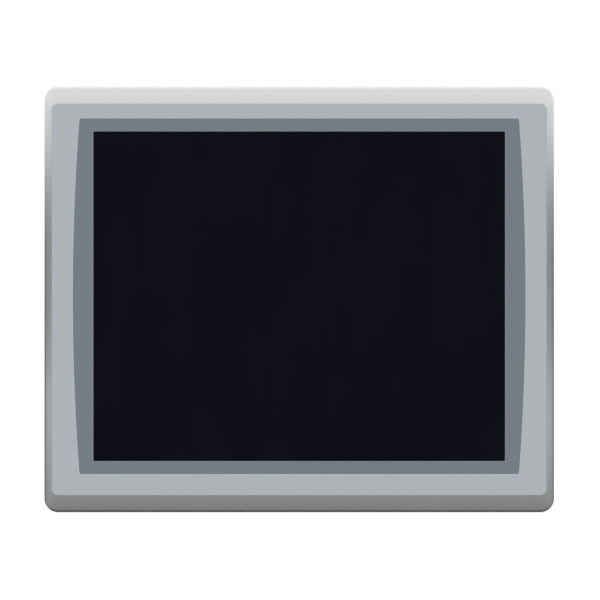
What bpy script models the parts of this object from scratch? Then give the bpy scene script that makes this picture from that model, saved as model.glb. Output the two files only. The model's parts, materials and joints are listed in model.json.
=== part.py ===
"""Panel-mount touch terminal: bezel, touch screen, display housing, logic module and its levers.

Metres, +Z up. The origin is the centre of the cabinet cut-out on the mounting plane, which is the
rear face of the cabinet gasket. The screen faces -Y and the housing passes through the cabinet to +Y.
"""

import math

import bmesh
import bpy
from mathutils import Matrix, Vector

GAP = 0.0003                 # between pieces that touch
SLACK = 0.001                # how far a cutter runs past the face it opens

# Bezel: a cast frame whose four strips slope back from the film to the rim
BEZEL_WIDTH = 0.470
BEZEL_HEIGHT = 0.3925
BEZEL_CORNER = 0.0115
BEZEL_PROUD = 0.0090         # front face ahead of the mounting plane
BEZEL_SLOPE = 0.0042         # fall of the strips from front face to rim
BEZEL_BACK = 0.0012          # rear face ahead of the mounting plane
BEZEL_EDGE_ROUND = 0.0020
SIDE_STRIP = 0.0070
TOP_STRIP = 0.0160
STRIP_LAND = 0.0006          # flat lip left round the film

# Films on the front
FILM = 0.0005
LABEL_CORNER = 0.0050
BORDER_WIDTH = 0.4048        # at the corners
BORDER_HEIGHT = 0.3275
BORDER_BULGE = 0.0061        # how far each side bows out at mid height
BORDER_STEPS = 12

# Screen
WINDOW_WIDTH = 0.3794
WINDOW_HEIGHT = 0.3038
WINDOW_CORNER = 0.0010
WINDOW_RISE = 0.00305        # screen centre above the bezel's centre
GLASS = 0.0030
GLASS_MARGIN = 0.0050        # glass hidden under the border
TOUCH_FOAM = 0.0005
LEDGE = 0.0029               # cast ledge that the glass rests on

# Gasket against the cabinet
GASKET_WIDTH = 0.0050
GASKET_EDGE = 0.0020         # bezel rim outside the groove
GROOVE_DEPTH = 0.0013

# LCD module behind the bezel
LCD_MARGIN_X = 0.0083
LCD_MARGIN_Z = 0.0101
LCD_DEPTH = 0.0119
LCD_SHEET = 0.0008
CELL = 0.0022
CELL_INSET = 0.0028
GUIDE = 0.0040
GUIDE_END = 0.0064           # room for an LED strip above and below the light guide
STRIP_BAR = 0.0020
TRAY_FRONT = 0.0029          # tray rim behind the mounting plane
TRAY_DEPTH = 0.0054
BRACKET_LENGTH = 0.270
BRACKET_SHEET = 0.0012
BRACKET_LAP = 0.0120
BRACKET_FOOT = 0.0100

# Display housing: a sheet pan that passes through the cut-out
HOUSING_INSET = 0.0110       # bezel edge to housing wall
HOUSING_DEPTH = 0.0300       # rear face behind the mounting plane
SHEET = 0.0012
SHEET_CORNER = 0.0030
POST_RADIUS = 0.0050
POST_INSET = 0.0130          # post centre in from the housing walls
POST_BORE = 0.0024
SCREW_RADIUS = 0.0020
SCREW_HEAD_RADIUS = 0.0040
SCREW_HEAD = 0.0024
SCREW_BITE = 0.0035          # thread in the bezel or nut
SCREW_DOME = ((0.0, 1.0), (0.6, 0.95), (0.9, 0.7), (1.0, 0.35), (1.0, 0.0))   # shares of radius and height
COVER_SCREW_RADIUS = 0.0016
COVER_SCREW_HEAD_RADIUS = 0.0037

# Logic module on the housing's back
MODULE_WIDTH = 0.300
MODULE_HEIGHT = 0.220
MODULE_RISE = 0.0100         # module centre above the origin
MODULE_DEPTH = 0.0250
FLANGE = 0.0120
NUT_RADIUS = 0.0035
NUT_HEIGHT = 0.0050
BOARD = 0.0016
STANDOFF = 0.0060
STANDOFF_RADIUS = 0.0025
BOARD_MARGIN = 0.0070        # boards in from the module's walls
BOARD_EDGE = 0.0030          # boards' lower edge in from the port wall
TOP_ROOM = 0.0270            # above the boards, where the display cable passes
POWER_BOARD_WIDTH = 0.0650
BOARD_SPACE = 0.0030         # between power board and main board

# Vents
VENT_WIDTH = 0.0030
VENT_PITCH = 0.0080
VENT_LENGTH = 0.0140
HOUSING_VENTS = 12
ROOF_VENTS = 24
BACK_VENTS = 10
BACK_VENT_LENGTH = 0.0280
BACK_VENT_ROWS = (-0.0250, 0.0250)   # rows above the processor

# Mounting levers
LEVER_HUB = 0.0060
LEVER_TIP = 0.0040
LEVER_PLATE = 0.0042
LEVER_STEM = 0.0034
LEVER_HEAD = 0.0055
LEVER_HEAD_THICK = 0.0015
LEVER_PLAY = 0.0005
LEVER_GRIP = 0.0028
PANEL_SHEET = 0.0032         # cabinet wall that the locked levers clamp
LEVER_PIVOT = 0.0155         # pivots behind the mounting plane
LEVER_END_SPACE = 0.0750     # pivots in from the housing's corners
KEYHOLE_REACH = 0.0065       # wide end of the slot behind the pivot
SLOT_RUN = 0.0030            # narrow end of the slot ahead of the pivot

# Ports, each as width along X, depth along Z and height along Y
PORT_PROUD = 0.0004          # port mouth past the port wall
ETHERNET = (0.0160, 0.0210, 0.0135)
USB_HOST = (0.0131, 0.0140, 0.0057)
USB_DEVICE = (0.0121, 0.0160, 0.0109)
HEADER = (0.0176, 0.0130, 0.0085)
ETHERNET_X = (0.0200, 0.0430)
USB_HOST_X = (-0.0280, -0.0080)
USB_DEVICE_X = -0.0500
HEADER_X = -0.1100
PORT_WALL = 0.0012

# Power plug, pulled straight out of the header
PLUG_BODY = (0.0172, 0.0120, 0.0120)
POLES = 3
POLE_PITCH = 0.00508
PIN = 0.0010
PIN_LENGTH = 0.0080
WIRE_HOLE = 0.0014
CLAMP_SCREW = 0.0016
CLAMP_SCREW_LENGTH = 0.0040
CLAMP_SCREW_RISE = 0.0050    # screws above the plug's wire end
WIRE_BORE_DEPTH = 0.0080

# Memory card and its socket
CARD = (0.0240, 0.0320, 0.0021)
CARD_CHAMFER = 0.0040
CARD_OUT = 0.0022            # card past the port wall at rest
CARD_OVERTRAVEL = 0.0020     # room behind the card for its push
CARD_X = 0.0850
SOCKET_WALL = 0.0008

# Parts on the main board
SINK = (0.0800, 0.0600, 0.0120)
SINK_BASE = 0.0030
SINK_FINS = 13
SINK_FIN = 0.0016
CHIP = (0.0340, 0.0340, 0.0015)      # width, height and thickness, as for every soldered part
CHIP_PLACE = (0.0200, 0.0300)
MEMORY_CHIP = (0.0110, 0.0130, 0.0012)
MEMORY_CHIP_STEP = (0.0140, 0.0180)
MEMORY_PLACE = (-0.0480, 0.0200)
CHOKE = (0.0070, 0.0070, 0.0040)
CHOKES = 5
CHOKE_STEP = 0.0100
CHOKE_PLACE = (-0.0500, 0.0700)
PORT_CHIP = (0.0100, 0.0100, 0.0012)
PORT_CHIP_PLACES = ((-0.0400, -0.0550), (0.0050, -0.0550), (0.0500, -0.0550))
DISPLAY_CONNECTOR = (0.0300, 0.0060, 0.0045)
DISPLAY_CONNECTOR_Z = 0.0750
BATTERY_RADIUS = 0.0100
BATTERY = 0.0032
HOLDER = 0.0240
HOLDER_HEIGHT = 0.0050
HOLDER_PLACE = (0.1100, 0.0500)

# Parts on the power board
TRANSFORMER = (0.0260, 0.0220, 0.0120)
TRANSFORMER_Z = 0.0000
FILTER = (0.0180, 0.0180, 0.0100)
FILTER_Z = -0.0450
LEAD_CONNECTOR = (0.0080, 0.0120, 0.0050)
LEAD_Z = 0.0600
LEAD_END = 0.0060            # lead connector in from the board's edge
CAPACITORS = 3
CAPACITOR_RADIUS = 0.0050
CAPACITOR_HEIGHT = 0.0110
CAPACITOR_STEP = 0.0140
CAPACITOR_Z = 0.0450

# Small boards inside the display housing
SMALL_CHIP = (0.0100, 0.0100, 0.0020)
TOUCH_BOARD = (0.0900, 0.0350)
TOUCH_BOARD_PLACE = (-0.0900, -0.1350)
BACKLIGHT_BOARD = (0.1100, 0.0400)
BACKLIGHT_BOARD_PLACE = (0.0900, -0.1350)

# Leads
RIBBON = 0.0004
TAIL_WIDTH = 0.0140
TAIL_NOTCH_ROOM = 0.0130     # notch in the bezel below the glass
TAIL_CLEAR = 0.0022          # tail below the LCD module
TAIL_BEND = 0.0010
TAIL_LAP = 0.0080            # tail over its connector
CABLE_RADIUS = 0.0016
CABLE_WINDOW = (0.0400, 0.0120)
DISPLAY_CABLE_X = 0.0600

GROUND_PLACE = (-0.1850, -0.1300)
GROUND_RADIUS = 0.0025
RATING_LABEL = (0.0900, 0.0500, 0.0003)
RATING_PLACE = (-0.0700, 0.0800)

# Worked out from the sizes above
FRONT_Y = -BEZEL_PROUD
RIM_Y = FRONT_Y + BEZEL_SLOPE
BEZEL_BACK_Y = -BEZEL_BACK
POCKET_Y = FRONT_Y + FILM + GAP
GLASS_Y = POCKET_Y + GLASS
FOAM_Y = GLASS_Y + GAP + TOUCH_FOAM
LEDGE_Y = BEZEL_BACK_Y - LEDGE
GLASS_WIDTH = WINDOW_WIDTH + 2 * GLASS_MARGIN
GLASS_HEIGHT = WINDOW_HEIGHT + 2 * GLASS_MARGIN
LABEL_WIDTH = BEZEL_WIDTH - 2 * SIDE_STRIP
LABEL_HEIGHT = BEZEL_HEIGHT - 2 * TOP_STRIP
HOUSING_WIDTH = BEZEL_WIDTH - 2 * HOUSING_INSET
HOUSING_HEIGHT = BEZEL_HEIGHT - 2 * HOUSING_INSET
HOUSING_FRONT_Y = BEZEL_BACK_Y + GAP
LCD_WIDTH = WINDOW_WIDTH + 2 * LCD_MARGIN_X
LCD_HEIGHT = WINDOW_HEIGHT + 2 * LCD_MARGIN_Z
LCD_BACK_Y = HOUSING_FRONT_Y + LCD_DEPTH
TRAY_BACK_Y = TRAY_FRONT + TRAY_DEPTH
MODULE_Y = HOUSING_DEPTH + GAP
MODULE_BACK_Y = MODULE_Y + MODULE_DEPTH
BOARD_Y = HOUSING_DEPTH + STANDOFF + GAP
PORT_Y = BOARD_Y + BOARD + GAP
PORT_WALL_Z = MODULE_RISE - MODULE_HEIGHT / 2
PORT_MOUTH_Z = PORT_WALL_Z - PORT_PROUD
BOARD_BOTTOM_Z = PORT_WALL_Z + BOARD_EDGE
BOARD_TOP_Z = MODULE_RISE + MODULE_HEIGHT / 2 - TOP_ROOM
INNER_BOARD_Y = HOUSING_DEPTH - SHEET - STANDOFF - GAP

ARC_STEPS = 20


# ------------------------------------------------------------------ helpers

def clear_scene():
    for obj in list(bpy.data.objects):
        bpy.data.objects.remove(obj, do_unlink=True)


def new_collection(name):
    collection = bpy.data.collections.new(name)
    bpy.context.scene.collection.children.link(collection)
    return collection


def finish(name, colour, roughness, metallic):
    """A Principled material with one colour, roughness and metallic value."""
    material = bpy.data.materials.new(name)
    material.use_nodes = True
    shader = material.node_tree.nodes["Principled BSDF"]
    shader.inputs["Base Color"].default_value = (*colour, 1.0)
    shader.inputs["Roughness"].default_value = roughness
    shader.inputs["Metallic"].default_value = metallic
    return material


def keep(obj, material):
    """Adds a finished piece to the parts, in its own finish."""
    PARTS.objects.link(obj)
    obj.data.materials.clear()
    obj.data.materials.append(material)
    obj.data.set_sharp_from_angle(angle=math.radians(35))
    return obj


def as_cutter(obj):
    CUTTERS.objects.link(obj)
    obj.hide_render = True
    obj.display_type = "WIRE"
    return obj


def mesh_object(name, shape):
    mesh = bpy.data.meshes.new(name)
    shape.to_mesh(mesh)
    shape.free()
    mesh.shade_smooth()
    return bpy.data.objects.new(name, mesh)


def block(name, size, centre, corner=0.0, segments=3):
    """A box of the given X, Y and Z size, its edges along Y rounded by corner."""
    shape = bmesh.new()
    bmesh.ops.create_cube(shape, size=1.0)
    bmesh.ops.scale(shape, vec=Vector(size), verts=shape.verts)
    if corner:
        along = [e for e in shape.edges if abs((e.verts[0].co - e.verts[1].co).y) > size[1] / 2]
        bmesh.ops.bevel(shape, geom=along, offset=corner, segments=segments, profile=0.5,
                        affect="EDGES")
    obj = mesh_object(name, shape)
    obj.location = centre
    return obj


def span(name, x, y, z, corner=0.0, segments=3):
    """A block between two values on each axis."""
    size = (x[1] - x[0], y[1] - y[0], z[1] - z[0])
    centre = ((x[0] + x[1]) / 2, (y[0] + y[1]) / 2, (z[0] + z[1]) / 2)
    return block(name, size, centre, corner, segments)


def rod(name, radius, length, centre, axis="Y", sides=24):
    """A cylinder centred on a point, along X, Y or Z."""
    shape = bmesh.new()
    bmesh.ops.create_cone(shape, cap_ends=True, segments=sides, radius1=radius, radius2=radius,
                          depth=length)
    turn = {"X": Matrix.Rotation(math.pi / 2, 3, "Y"), "Y": Matrix.Rotation(math.pi / 2, 3, "X"),
            "Z": Matrix.Identity(3)}[axis]
    bmesh.ops.transform(shape, matrix=turn.to_4x4(), verts=shape.verts)
    obj = mesh_object(name, shape)
    obj.location = centre
    return obj


def turned(name, profile, sides=24):
    """A profile of (radius, height) points, its outer side from top to bottom, spun about Z."""
    mesh = bpy.data.meshes.new(name)
    points = [(radius, 0.0, height) for radius, height in profile]
    mesh.from_pydata(points, [(i, i + 1) for i in range(len(points) - 1)], [])
    obj = bpy.data.objects.new(name, mesh)
    screw = obj.modifiers.new("spin", "SCREW")
    screw.axis = "Z"
    screw.steps = sides
    screw.render_steps = sides
    screw.use_merge_vertices = True
    screw.merge_threshold = 0.00005
    screw.use_smooth_shade = True
    return obj


def arc(centre, radius, start, end):
    """Points along an arc, both ends included."""
    angles = [start + (end - start) * i / ARC_STEPS for i in range(ARC_STEPS + 1)]
    return [(centre[0] + radius * math.cos(a), centre[1] + radius * math.sin(a)) for a in angles]


def flat_outline(name, points, thickness):
    """A closed outline in local X and Y, filled and given a thickness along local Z."""
    curve = bpy.data.curves.new(name, "CURVE")
    curve.dimensions = "2D"
    curve.fill_mode = "BOTH"
    curve.extrude = thickness / 2
    line = curve.splines.new("POLY")
    line.points.add(len(points) - 1)
    for point, (x, y) in zip(line.points, points):
        point.co = (x, y, 0.0, 1.0)
    line.use_cyclic_u = True
    return solid_mesh(bpy.data.objects.new(name, curve))


def solid_mesh(obj):
    """The object's evaluated shape as one welded mesh, in place of the object."""
    bpy.context.scene.collection.objects.link(obj)
    bpy.context.view_layer.update()
    graph = bpy.context.evaluated_depsgraph_get()
    mesh = bpy.data.meshes.new_from_object(obj.evaluated_get(graph))
    place = obj.matrix_world.copy()
    name = obj.name
    bpy.data.objects.remove(obj, do_unlink=True)
    shape = bmesh.new()
    shape.from_mesh(mesh)
    bmesh.ops.remove_doubles(shape, verts=shape.verts, dist=0.000001)
    bmesh.ops.recalc_face_normals(shape, faces=shape.faces)
    shape.to_mesh(mesh)
    shape.free()
    made = bpy.data.objects.new(name, mesh)
    made.matrix_world = place
    return made


def combine(obj, others, operation="DIFFERENCE"):
    """Cuts the others from an object, or joins them to it."""
    for other in others:
        as_cutter(other)
        modifier = obj.modifiers.new(other.name, "BOOLEAN")
        modifier.operation = operation
        modifier.solver = "EXACT"
        modifier.object = other
    return obj


def combine_many(obj, others, operation="DIFFERENCE"):
    """As combine, with one modifier for a whole set that doesn't touch itself."""
    group = bpy.data.collections.new(f"{obj.name}_{operation.lower()}")
    CUTTERS.children.link(group)
    for other in others:
        group.objects.link(other)
        other.hide_render = True
        other.display_type = "WIRE"
    modifier = obj.modifiers.new(group.name, "BOOLEAN")
    modifier.operation = operation
    modifier.solver = "EXACT"
    modifier.operand_type = "COLLECTION"
    modifier.collection = group
    return obj


def open_pan(name, width, height, depth, front_y, rise=0.0, open_front=True, wall=SHEET,
             corner=SHEET_CORNER):
    """A sheet pan between front_y and front_y + depth, open on one face."""
    shape = bmesh.new()
    bmesh.ops.create_cube(shape, size=1.0)
    bmesh.ops.scale(shape, vec=Vector((width, depth, height)), verts=shape.verts)
    away = -1.0 if open_front else 1.0
    mouth = [f for f in shape.faces if f.normal.y * away > 0.5]
    bmesh.ops.delete(shape, geom=mouth, context="FACES_ONLY")
    corners = [e for e in shape.edges if not e.is_boundary]
    bmesh.ops.bevel(shape, geom=corners, offset=corner, segments=3, profile=0.5,
                    affect="EDGES")
    obj = mesh_object(name, shape)
    obj.location = (0.0, front_y + depth / 2, rise)
    sheet = obj.modifiers.new("sheet", "SOLIDIFY")
    sheet.thickness = wall
    sheet.offset = -1.0
    sheet.use_even_offset = True
    return obj


def ring(name, outer, inner, y, rise=0.0, corner=0.0):
    """A flat rectangular frame between two y values, from its outer and inner (X, Z) sizes."""
    plate = span(name, (-outer[0] / 2, outer[0] / 2), y,
                 (rise - outer[1] / 2, rise + outer[1] / 2), corner, segments=6)
    hole = span(f"{name}_hole", (-inner[0] / 2, inner[0] / 2), (y[0] - SLACK, y[1] + SLACK),
                (rise - inner[1] / 2, rise + inner[1] / 2),
                max(corner - (outer[0] - inner[0]) / 2, WINDOW_CORNER), segments=6)
    return combine(plate, [hole])


# ------------------------------------------------------------ front assembly

def bulged_outline(width, height, bulge, grow=0.0):
    """The border's outline: straight top and bottom, and sides that bow out as arcs."""
    half_w = width / 2 + grow
    half_h = height / 2 + grow
    points = []
    for side in (1.0, -1.0):
        for step in range(BORDER_STEPS + 1):
            share = -1.0 + 2.0 * step / BORDER_STEPS
            x = half_w + bulge * (1.0 - share * share)
            points.append((side * x, side * share * half_h))
    return points


def standing(obj, y, rise):
    """Turns a flat outline upright, facing along Y, and puts it at a height."""
    turn = Matrix.Rotation(math.pi / 2, 4, "X")
    obj.matrix_world = Matrix.Translation((0.0, y, rise)) @ turn
    return obj


def sloped_frame():
    """The bezel's cast blank, before its openings: a rim, and strips that slope up to the front."""
    shape = bmesh.new()
    bmesh.ops.create_cube(shape, size=1.0)
    depth = BEZEL_BACK_Y - RIM_Y
    bmesh.ops.scale(shape, vec=Vector((BEZEL_WIDTH, depth, BEZEL_HEIGHT)), verts=shape.verts)
    uprights = [e for e in shape.edges if abs((e.verts[0].co - e.verts[1].co).y) > depth / 2]
    bmesh.ops.bevel(shape, geom=uprights, offset=BEZEL_CORNER, segments=8, profile=0.5,
                    affect="EDGES")
    front = [f for f in shape.faces if f.normal.y < -0.5]
    rim = list(front[0].edges)
    bmesh.ops.inset_region(shape, faces=front, thickness=SIDE_STRIP - STRIP_LAND,
                           use_even_offset=True)
    for vert in front[0].verts:
        vert.co.y -= BEZEL_SLOPE
        vert.co.z -= math.copysign(TOP_STRIP - SIDE_STRIP, vert.co.z)
    bmesh.ops.bevel(shape, geom=rim, offset=BEZEL_EDGE_ROUND, segments=3, profile=0.5,
                    affect="EDGES")
    obj = mesh_object("front_bezel", shape)
    obj.location = (0.0, (RIM_Y + BEZEL_BACK_Y) / 2, 0.0)
    return obj


def post_places():
    x = HOUSING_WIDTH / 2 - POST_INSET
    z = HOUSING_HEIGHT / 2 - POST_INSET
    return [(x, z), (-x, z), (-x, -z), (x, -z)]


def gasket_sizes():
    outer = (BEZEL_WIDTH - 2 * GASKET_EDGE, BEZEL_HEIGHT - 2 * GASKET_EDGE)
    inner = (outer[0] - 2 * GASKET_WIDTH, outer[1] - 2 * GASKET_WIDTH)
    return outer, inner


def front_bezel(material):
    frame = sloped_frame()
    recess = block("film_recess", (LABEL_WIDTH + 2 * GAP, 2 * (FILM + GAP), LABEL_HEIGHT + 2 * GAP),
                   (0.0, FRONT_Y, 0.0), LABEL_CORNER + GAP, segments=6)
    half_x = GLASS_WIDTH / 2 + GAP
    half_z = GLASS_HEIGHT / 2 + GAP
    pocket = span("glass_pocket", (-half_x, half_x), (FRONT_Y - SLACK, LEDGE_Y),
                  (WINDOW_RISE - half_z, WINDOW_RISE + half_z), WINDOW_CORNER)
    opening = span("screen_opening", (-WINDOW_WIDTH / 2, WINDOW_WIDTH / 2),
                   (LEDGE_Y - SLACK, BEZEL_BACK_Y + SLACK),
                   (WINDOW_RISE - WINDOW_HEIGHT / 2, WINDOW_RISE + WINDOW_HEIGHT / 2), WINDOW_CORNER)
    outer, inner = gasket_sizes()
    groove = ring("gasket_groove", (outer[0] + 2 * GAP, outer[1] + 2 * GAP),
                  (inner[0] - 2 * GAP, inner[1] - 2 * GAP),
                  (BEZEL_BACK_Y - GROOVE_DEPTH, BEZEL_BACK_Y + SLACK), corner=BEZEL_CORNER - GASKET_EDGE)
    low = WINDOW_RISE - half_z
    notch = span("tail_notch", (TOUCH_BOARD_PLACE[0] - TAIL_WIDTH, TOUCH_BOARD_PLACE[0] + TAIL_WIDTH),
                 (POCKET_Y + FILM, BEZEL_BACK_Y + SLACK), (low - TAIL_NOTCH_ROOM, low + SLACK))
    holes = [rod(f"bezel_thread_{i}", SCREW_RADIUS + GAP, 2 * (SCREW_BITE + GAP),
                 (x, BEZEL_BACK_Y, z)) for i, (x, z) in enumerate(post_places(), 1)]
    combine(frame, [recess, pocket, opening, groove, notch])
    return keep(combine_many(frame, holes), material)


def front_label(material):
    plate = span("front_label", (-LABEL_WIDTH / 2, LABEL_WIDTH / 2), (FRONT_Y, FRONT_Y + FILM),
                 (-LABEL_HEIGHT / 2, LABEL_HEIGHT / 2), LABEL_CORNER, segments=6)
    outline = bulged_outline(BORDER_WIDTH, BORDER_HEIGHT, BORDER_BULGE, grow=GAP)
    hole = flat_outline("label_hole", outline, 4 * FILM)
    return keep(combine(plate, [standing(hole, FRONT_Y, WINDOW_RISE)]), material)


def window_border(material):
    outline = bulged_outline(BORDER_WIDTH, BORDER_HEIGHT, BORDER_BULGE)
    film = standing(flat_outline("window_border", outline, FILM), FRONT_Y + FILM / 2, WINDOW_RISE)
    hole = block("border_hole", (WINDOW_WIDTH, 4 * FILM, WINDOW_HEIGHT), (0.0, FRONT_Y, WINDOW_RISE),
                 WINDOW_CORNER)
    return keep(combine(film, [hole]), material)


def touch_glass(material):
    sheet = span("touch_glass", (-GLASS_WIDTH / 2, GLASS_WIDTH / 2), (POCKET_Y, GLASS_Y),
                 (WINDOW_RISE - GLASS_HEIGHT / 2, WINDOW_RISE + GLASS_HEIGHT / 2), WINDOW_CORNER)
    return keep(sheet, material)


def touch_gasket(material):
    foam = ring("touch_gasket", (GLASS_WIDTH - 2 * GAP, GLASS_HEIGHT - 2 * GAP),
                (WINDOW_WIDTH, WINDOW_HEIGHT), (GLASS_Y + GAP, FOAM_Y), WINDOW_RISE)
    return keep(foam, material)


def panel_gasket(material):
    outer, inner = gasket_sizes()
    seal = ring("panel_gasket", outer, inner, (BEZEL_BACK_Y - GROOVE_DEPTH + GAP, 0.0),
                corner=BEZEL_CORNER - GASKET_EDGE)
    return keep(seal, material)


# ---------------------------------------------------------------- LCD module

def lcd_frame(material):
    frame = open_pan("lcd_frame", LCD_WIDTH, LCD_HEIGHT, LCD_DEPTH, HOUSING_FRONT_Y, WINDOW_RISE,
                     open_front=False, wall=LCD_SHEET, corner=WINDOW_CORNER)
    view = block("lcd_view", (WINDOW_WIDTH, 4 * LCD_SHEET, WINDOW_HEIGHT),
                 (0.0, HOUSING_FRONT_Y, WINDOW_RISE))
    return keep(combine(frame, [view]), material)


def lcd_cell(material):
    front = HOUSING_FRONT_Y + LCD_SHEET + GAP
    cell = span("lcd_cell", (CELL_INSET - LCD_WIDTH / 2, LCD_WIDTH / 2 - CELL_INSET), (front, front + CELL),
                (WINDOW_RISE - LCD_HEIGHT / 2 + CELL_INSET, WINDOW_RISE + LCD_HEIGHT / 2 - CELL_INSET))
    return keep(cell, material)


def tray_sizes():
    gap = LCD_SHEET + 2 * GAP
    return LCD_WIDTH - 2 * gap, LCD_HEIGHT - 2 * gap


def lcd_tray(material):
    width, height = tray_sizes()
    tray = open_pan("lcd_tray", width, height, TRAY_DEPTH, TRAY_FRONT, WINDOW_RISE,
                    wall=LCD_SHEET, corner=WINDOW_CORNER)
    return keep(tray, material)


def light_guide(material):
    width, height = tray_sizes()
    half_x = width / 2 - LCD_SHEET - 2 * GAP
    half_z = height / 2 - LCD_SHEET - GUIDE_END
    back = TRAY_BACK_Y - LCD_SHEET - GAP
    guide = span("light_guide", (-half_x, half_x), (back - GUIDE, back),
                 (WINDOW_RISE - half_z, WINDOW_RISE + half_z))
    return keep(guide, material)


def led_strip(name, side, material):
    width, height = tray_sizes()
    half_x = width / 2 - LCD_SHEET - 2 * GAP
    edge = height / 2 - LCD_SHEET - GUIDE_END + 2 * GAP
    middle = WINDOW_RISE + side * (edge + STRIP_BAR / 2)
    back = TRAY_BACK_Y - LCD_SHEET - GAP
    bar = block(name, (2 * half_x, GUIDE - GAP, STRIP_BAR), (0.0, back - GUIDE / 2, middle))
    return keep(bar, material)


def lcd_bracket(name, side, material):
    """A folded strip: a foot on the bezel, a web beside the LCD and a lap over its back."""
    web = LCD_WIDTH / 2 + 2 * GAP
    low = HOUSING_FRONT_Y
    lap = LCD_BACK_Y + GAP
    outline = [(web, low), (web + BRACKET_FOOT, low), (web + BRACKET_FOOT, low + BRACKET_SHEET),
               (web + BRACKET_SHEET, low + BRACKET_SHEET), (web + BRACKET_SHEET, lap + BRACKET_SHEET),
               (web - BRACKET_LAP, lap + BRACKET_SHEET), (web - BRACKET_LAP, lap), (web, lap)]
    strip = flat_outline(name, [(side * x, y) for x, y in outline], BRACKET_LENGTH)
    strip.location = (0.0, 0.0, WINDOW_RISE)
    return keep(strip, material)


# ----------------------------------------------------------- display housing

def lever_places():
    """Each pivot on a wall's outer face, with the wall's outward direction."""
    half_x = HOUSING_WIDTH / 2
    half_z = HOUSING_HEIGHT / 2
    along_x = half_x - LEVER_END_SPACE
    along_z = half_z - LEVER_END_SPACE
    places = []
    for side in (1.0, -1.0):
        for end in (1.0, -1.0):
            places.append(((side * half_x, LEVER_PIVOT, end * along_z), (side, 0.0, 0.0)))
            places.append(((end * along_x, LEVER_PIVOT, side * half_z), (0.0, 0.0, side)))
    return places


def wall_turn(pivot, outward):
    """Puts local Z out of a wall at the pivot, and local X towards the cabinet."""
    out = Vector(outward)
    tip = Vector((0.0, -1.0, 0.0))
    turn = Matrix((tip, out.cross(tip), out)).transposed().to_4x4()
    return Matrix.Translation(pivot) @ turn


def lever_slot(index, pivot, outward):
    """A keyhole slot through the wall: its wide end passes the lever's inner head."""
    wide = LEVER_HEAD + GAP
    narrow = LEVER_STEM + GAP
    meet = math.asin(narrow / wide)
    points = arc((-KEYHOLE_REACH, 0.0), wide, meet, 2 * math.pi - meet)
    points += arc((SLOT_RUN, 0.0), narrow, -math.pi / 2, math.pi / 2)
    keyhole = flat_outline(f"keyhole_{index}", points, 6 * SHEET)
    keyhole.matrix_world = wall_turn(pivot, outward)
    return keyhole


def board_places():
    """Standoff places of the boards on the housing's back and inside it."""
    half = MODULE_WIDTH / 2 - BOARD_MARGIN
    split = BOARD_MARGIN + POWER_BOARD_WIDTH - MODULE_WIDTH / 2
    inset = 2 * STANDOFF_RADIUS
    low = BOARD_BOTTOM_Z + MODULE_HEIGHT / 6
    high = BOARD_TOP_Z - inset
    outer = [(x, z) for x in (inset - half, split - inset, split + BOARD_SPACE + inset, half - inset)
             for z in (low, high)]
    inner = []
    for place, size in ((TOUCH_BOARD_PLACE, TOUCH_BOARD), (BACKLIGHT_BOARD_PLACE, BACKLIGHT_BOARD)):
        for side in (1.0, -1.0):
            inner.append((place[0] + side * (size[0] / 2 - inset), place[1]))
    return outer, inner


def flange_screw_places():
    x = MODULE_WIDTH / 2 + FLANGE / 2
    z = MODULE_HEIGHT / 2 - FLANGE
    return [(sx * x, MODULE_RISE + sz * z) for sx in (1.0, -1.0) for sz in (1.0, -1.0)]


def row_of_vents(name, count, place, step, size):
    """Slots of one size in a row."""
    first = Vector(place) - Vector(step) * (count - 1) / 2
    return [block(f"{name}_{i}", size, first + Vector(step) * i) for i in range(count)]


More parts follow.
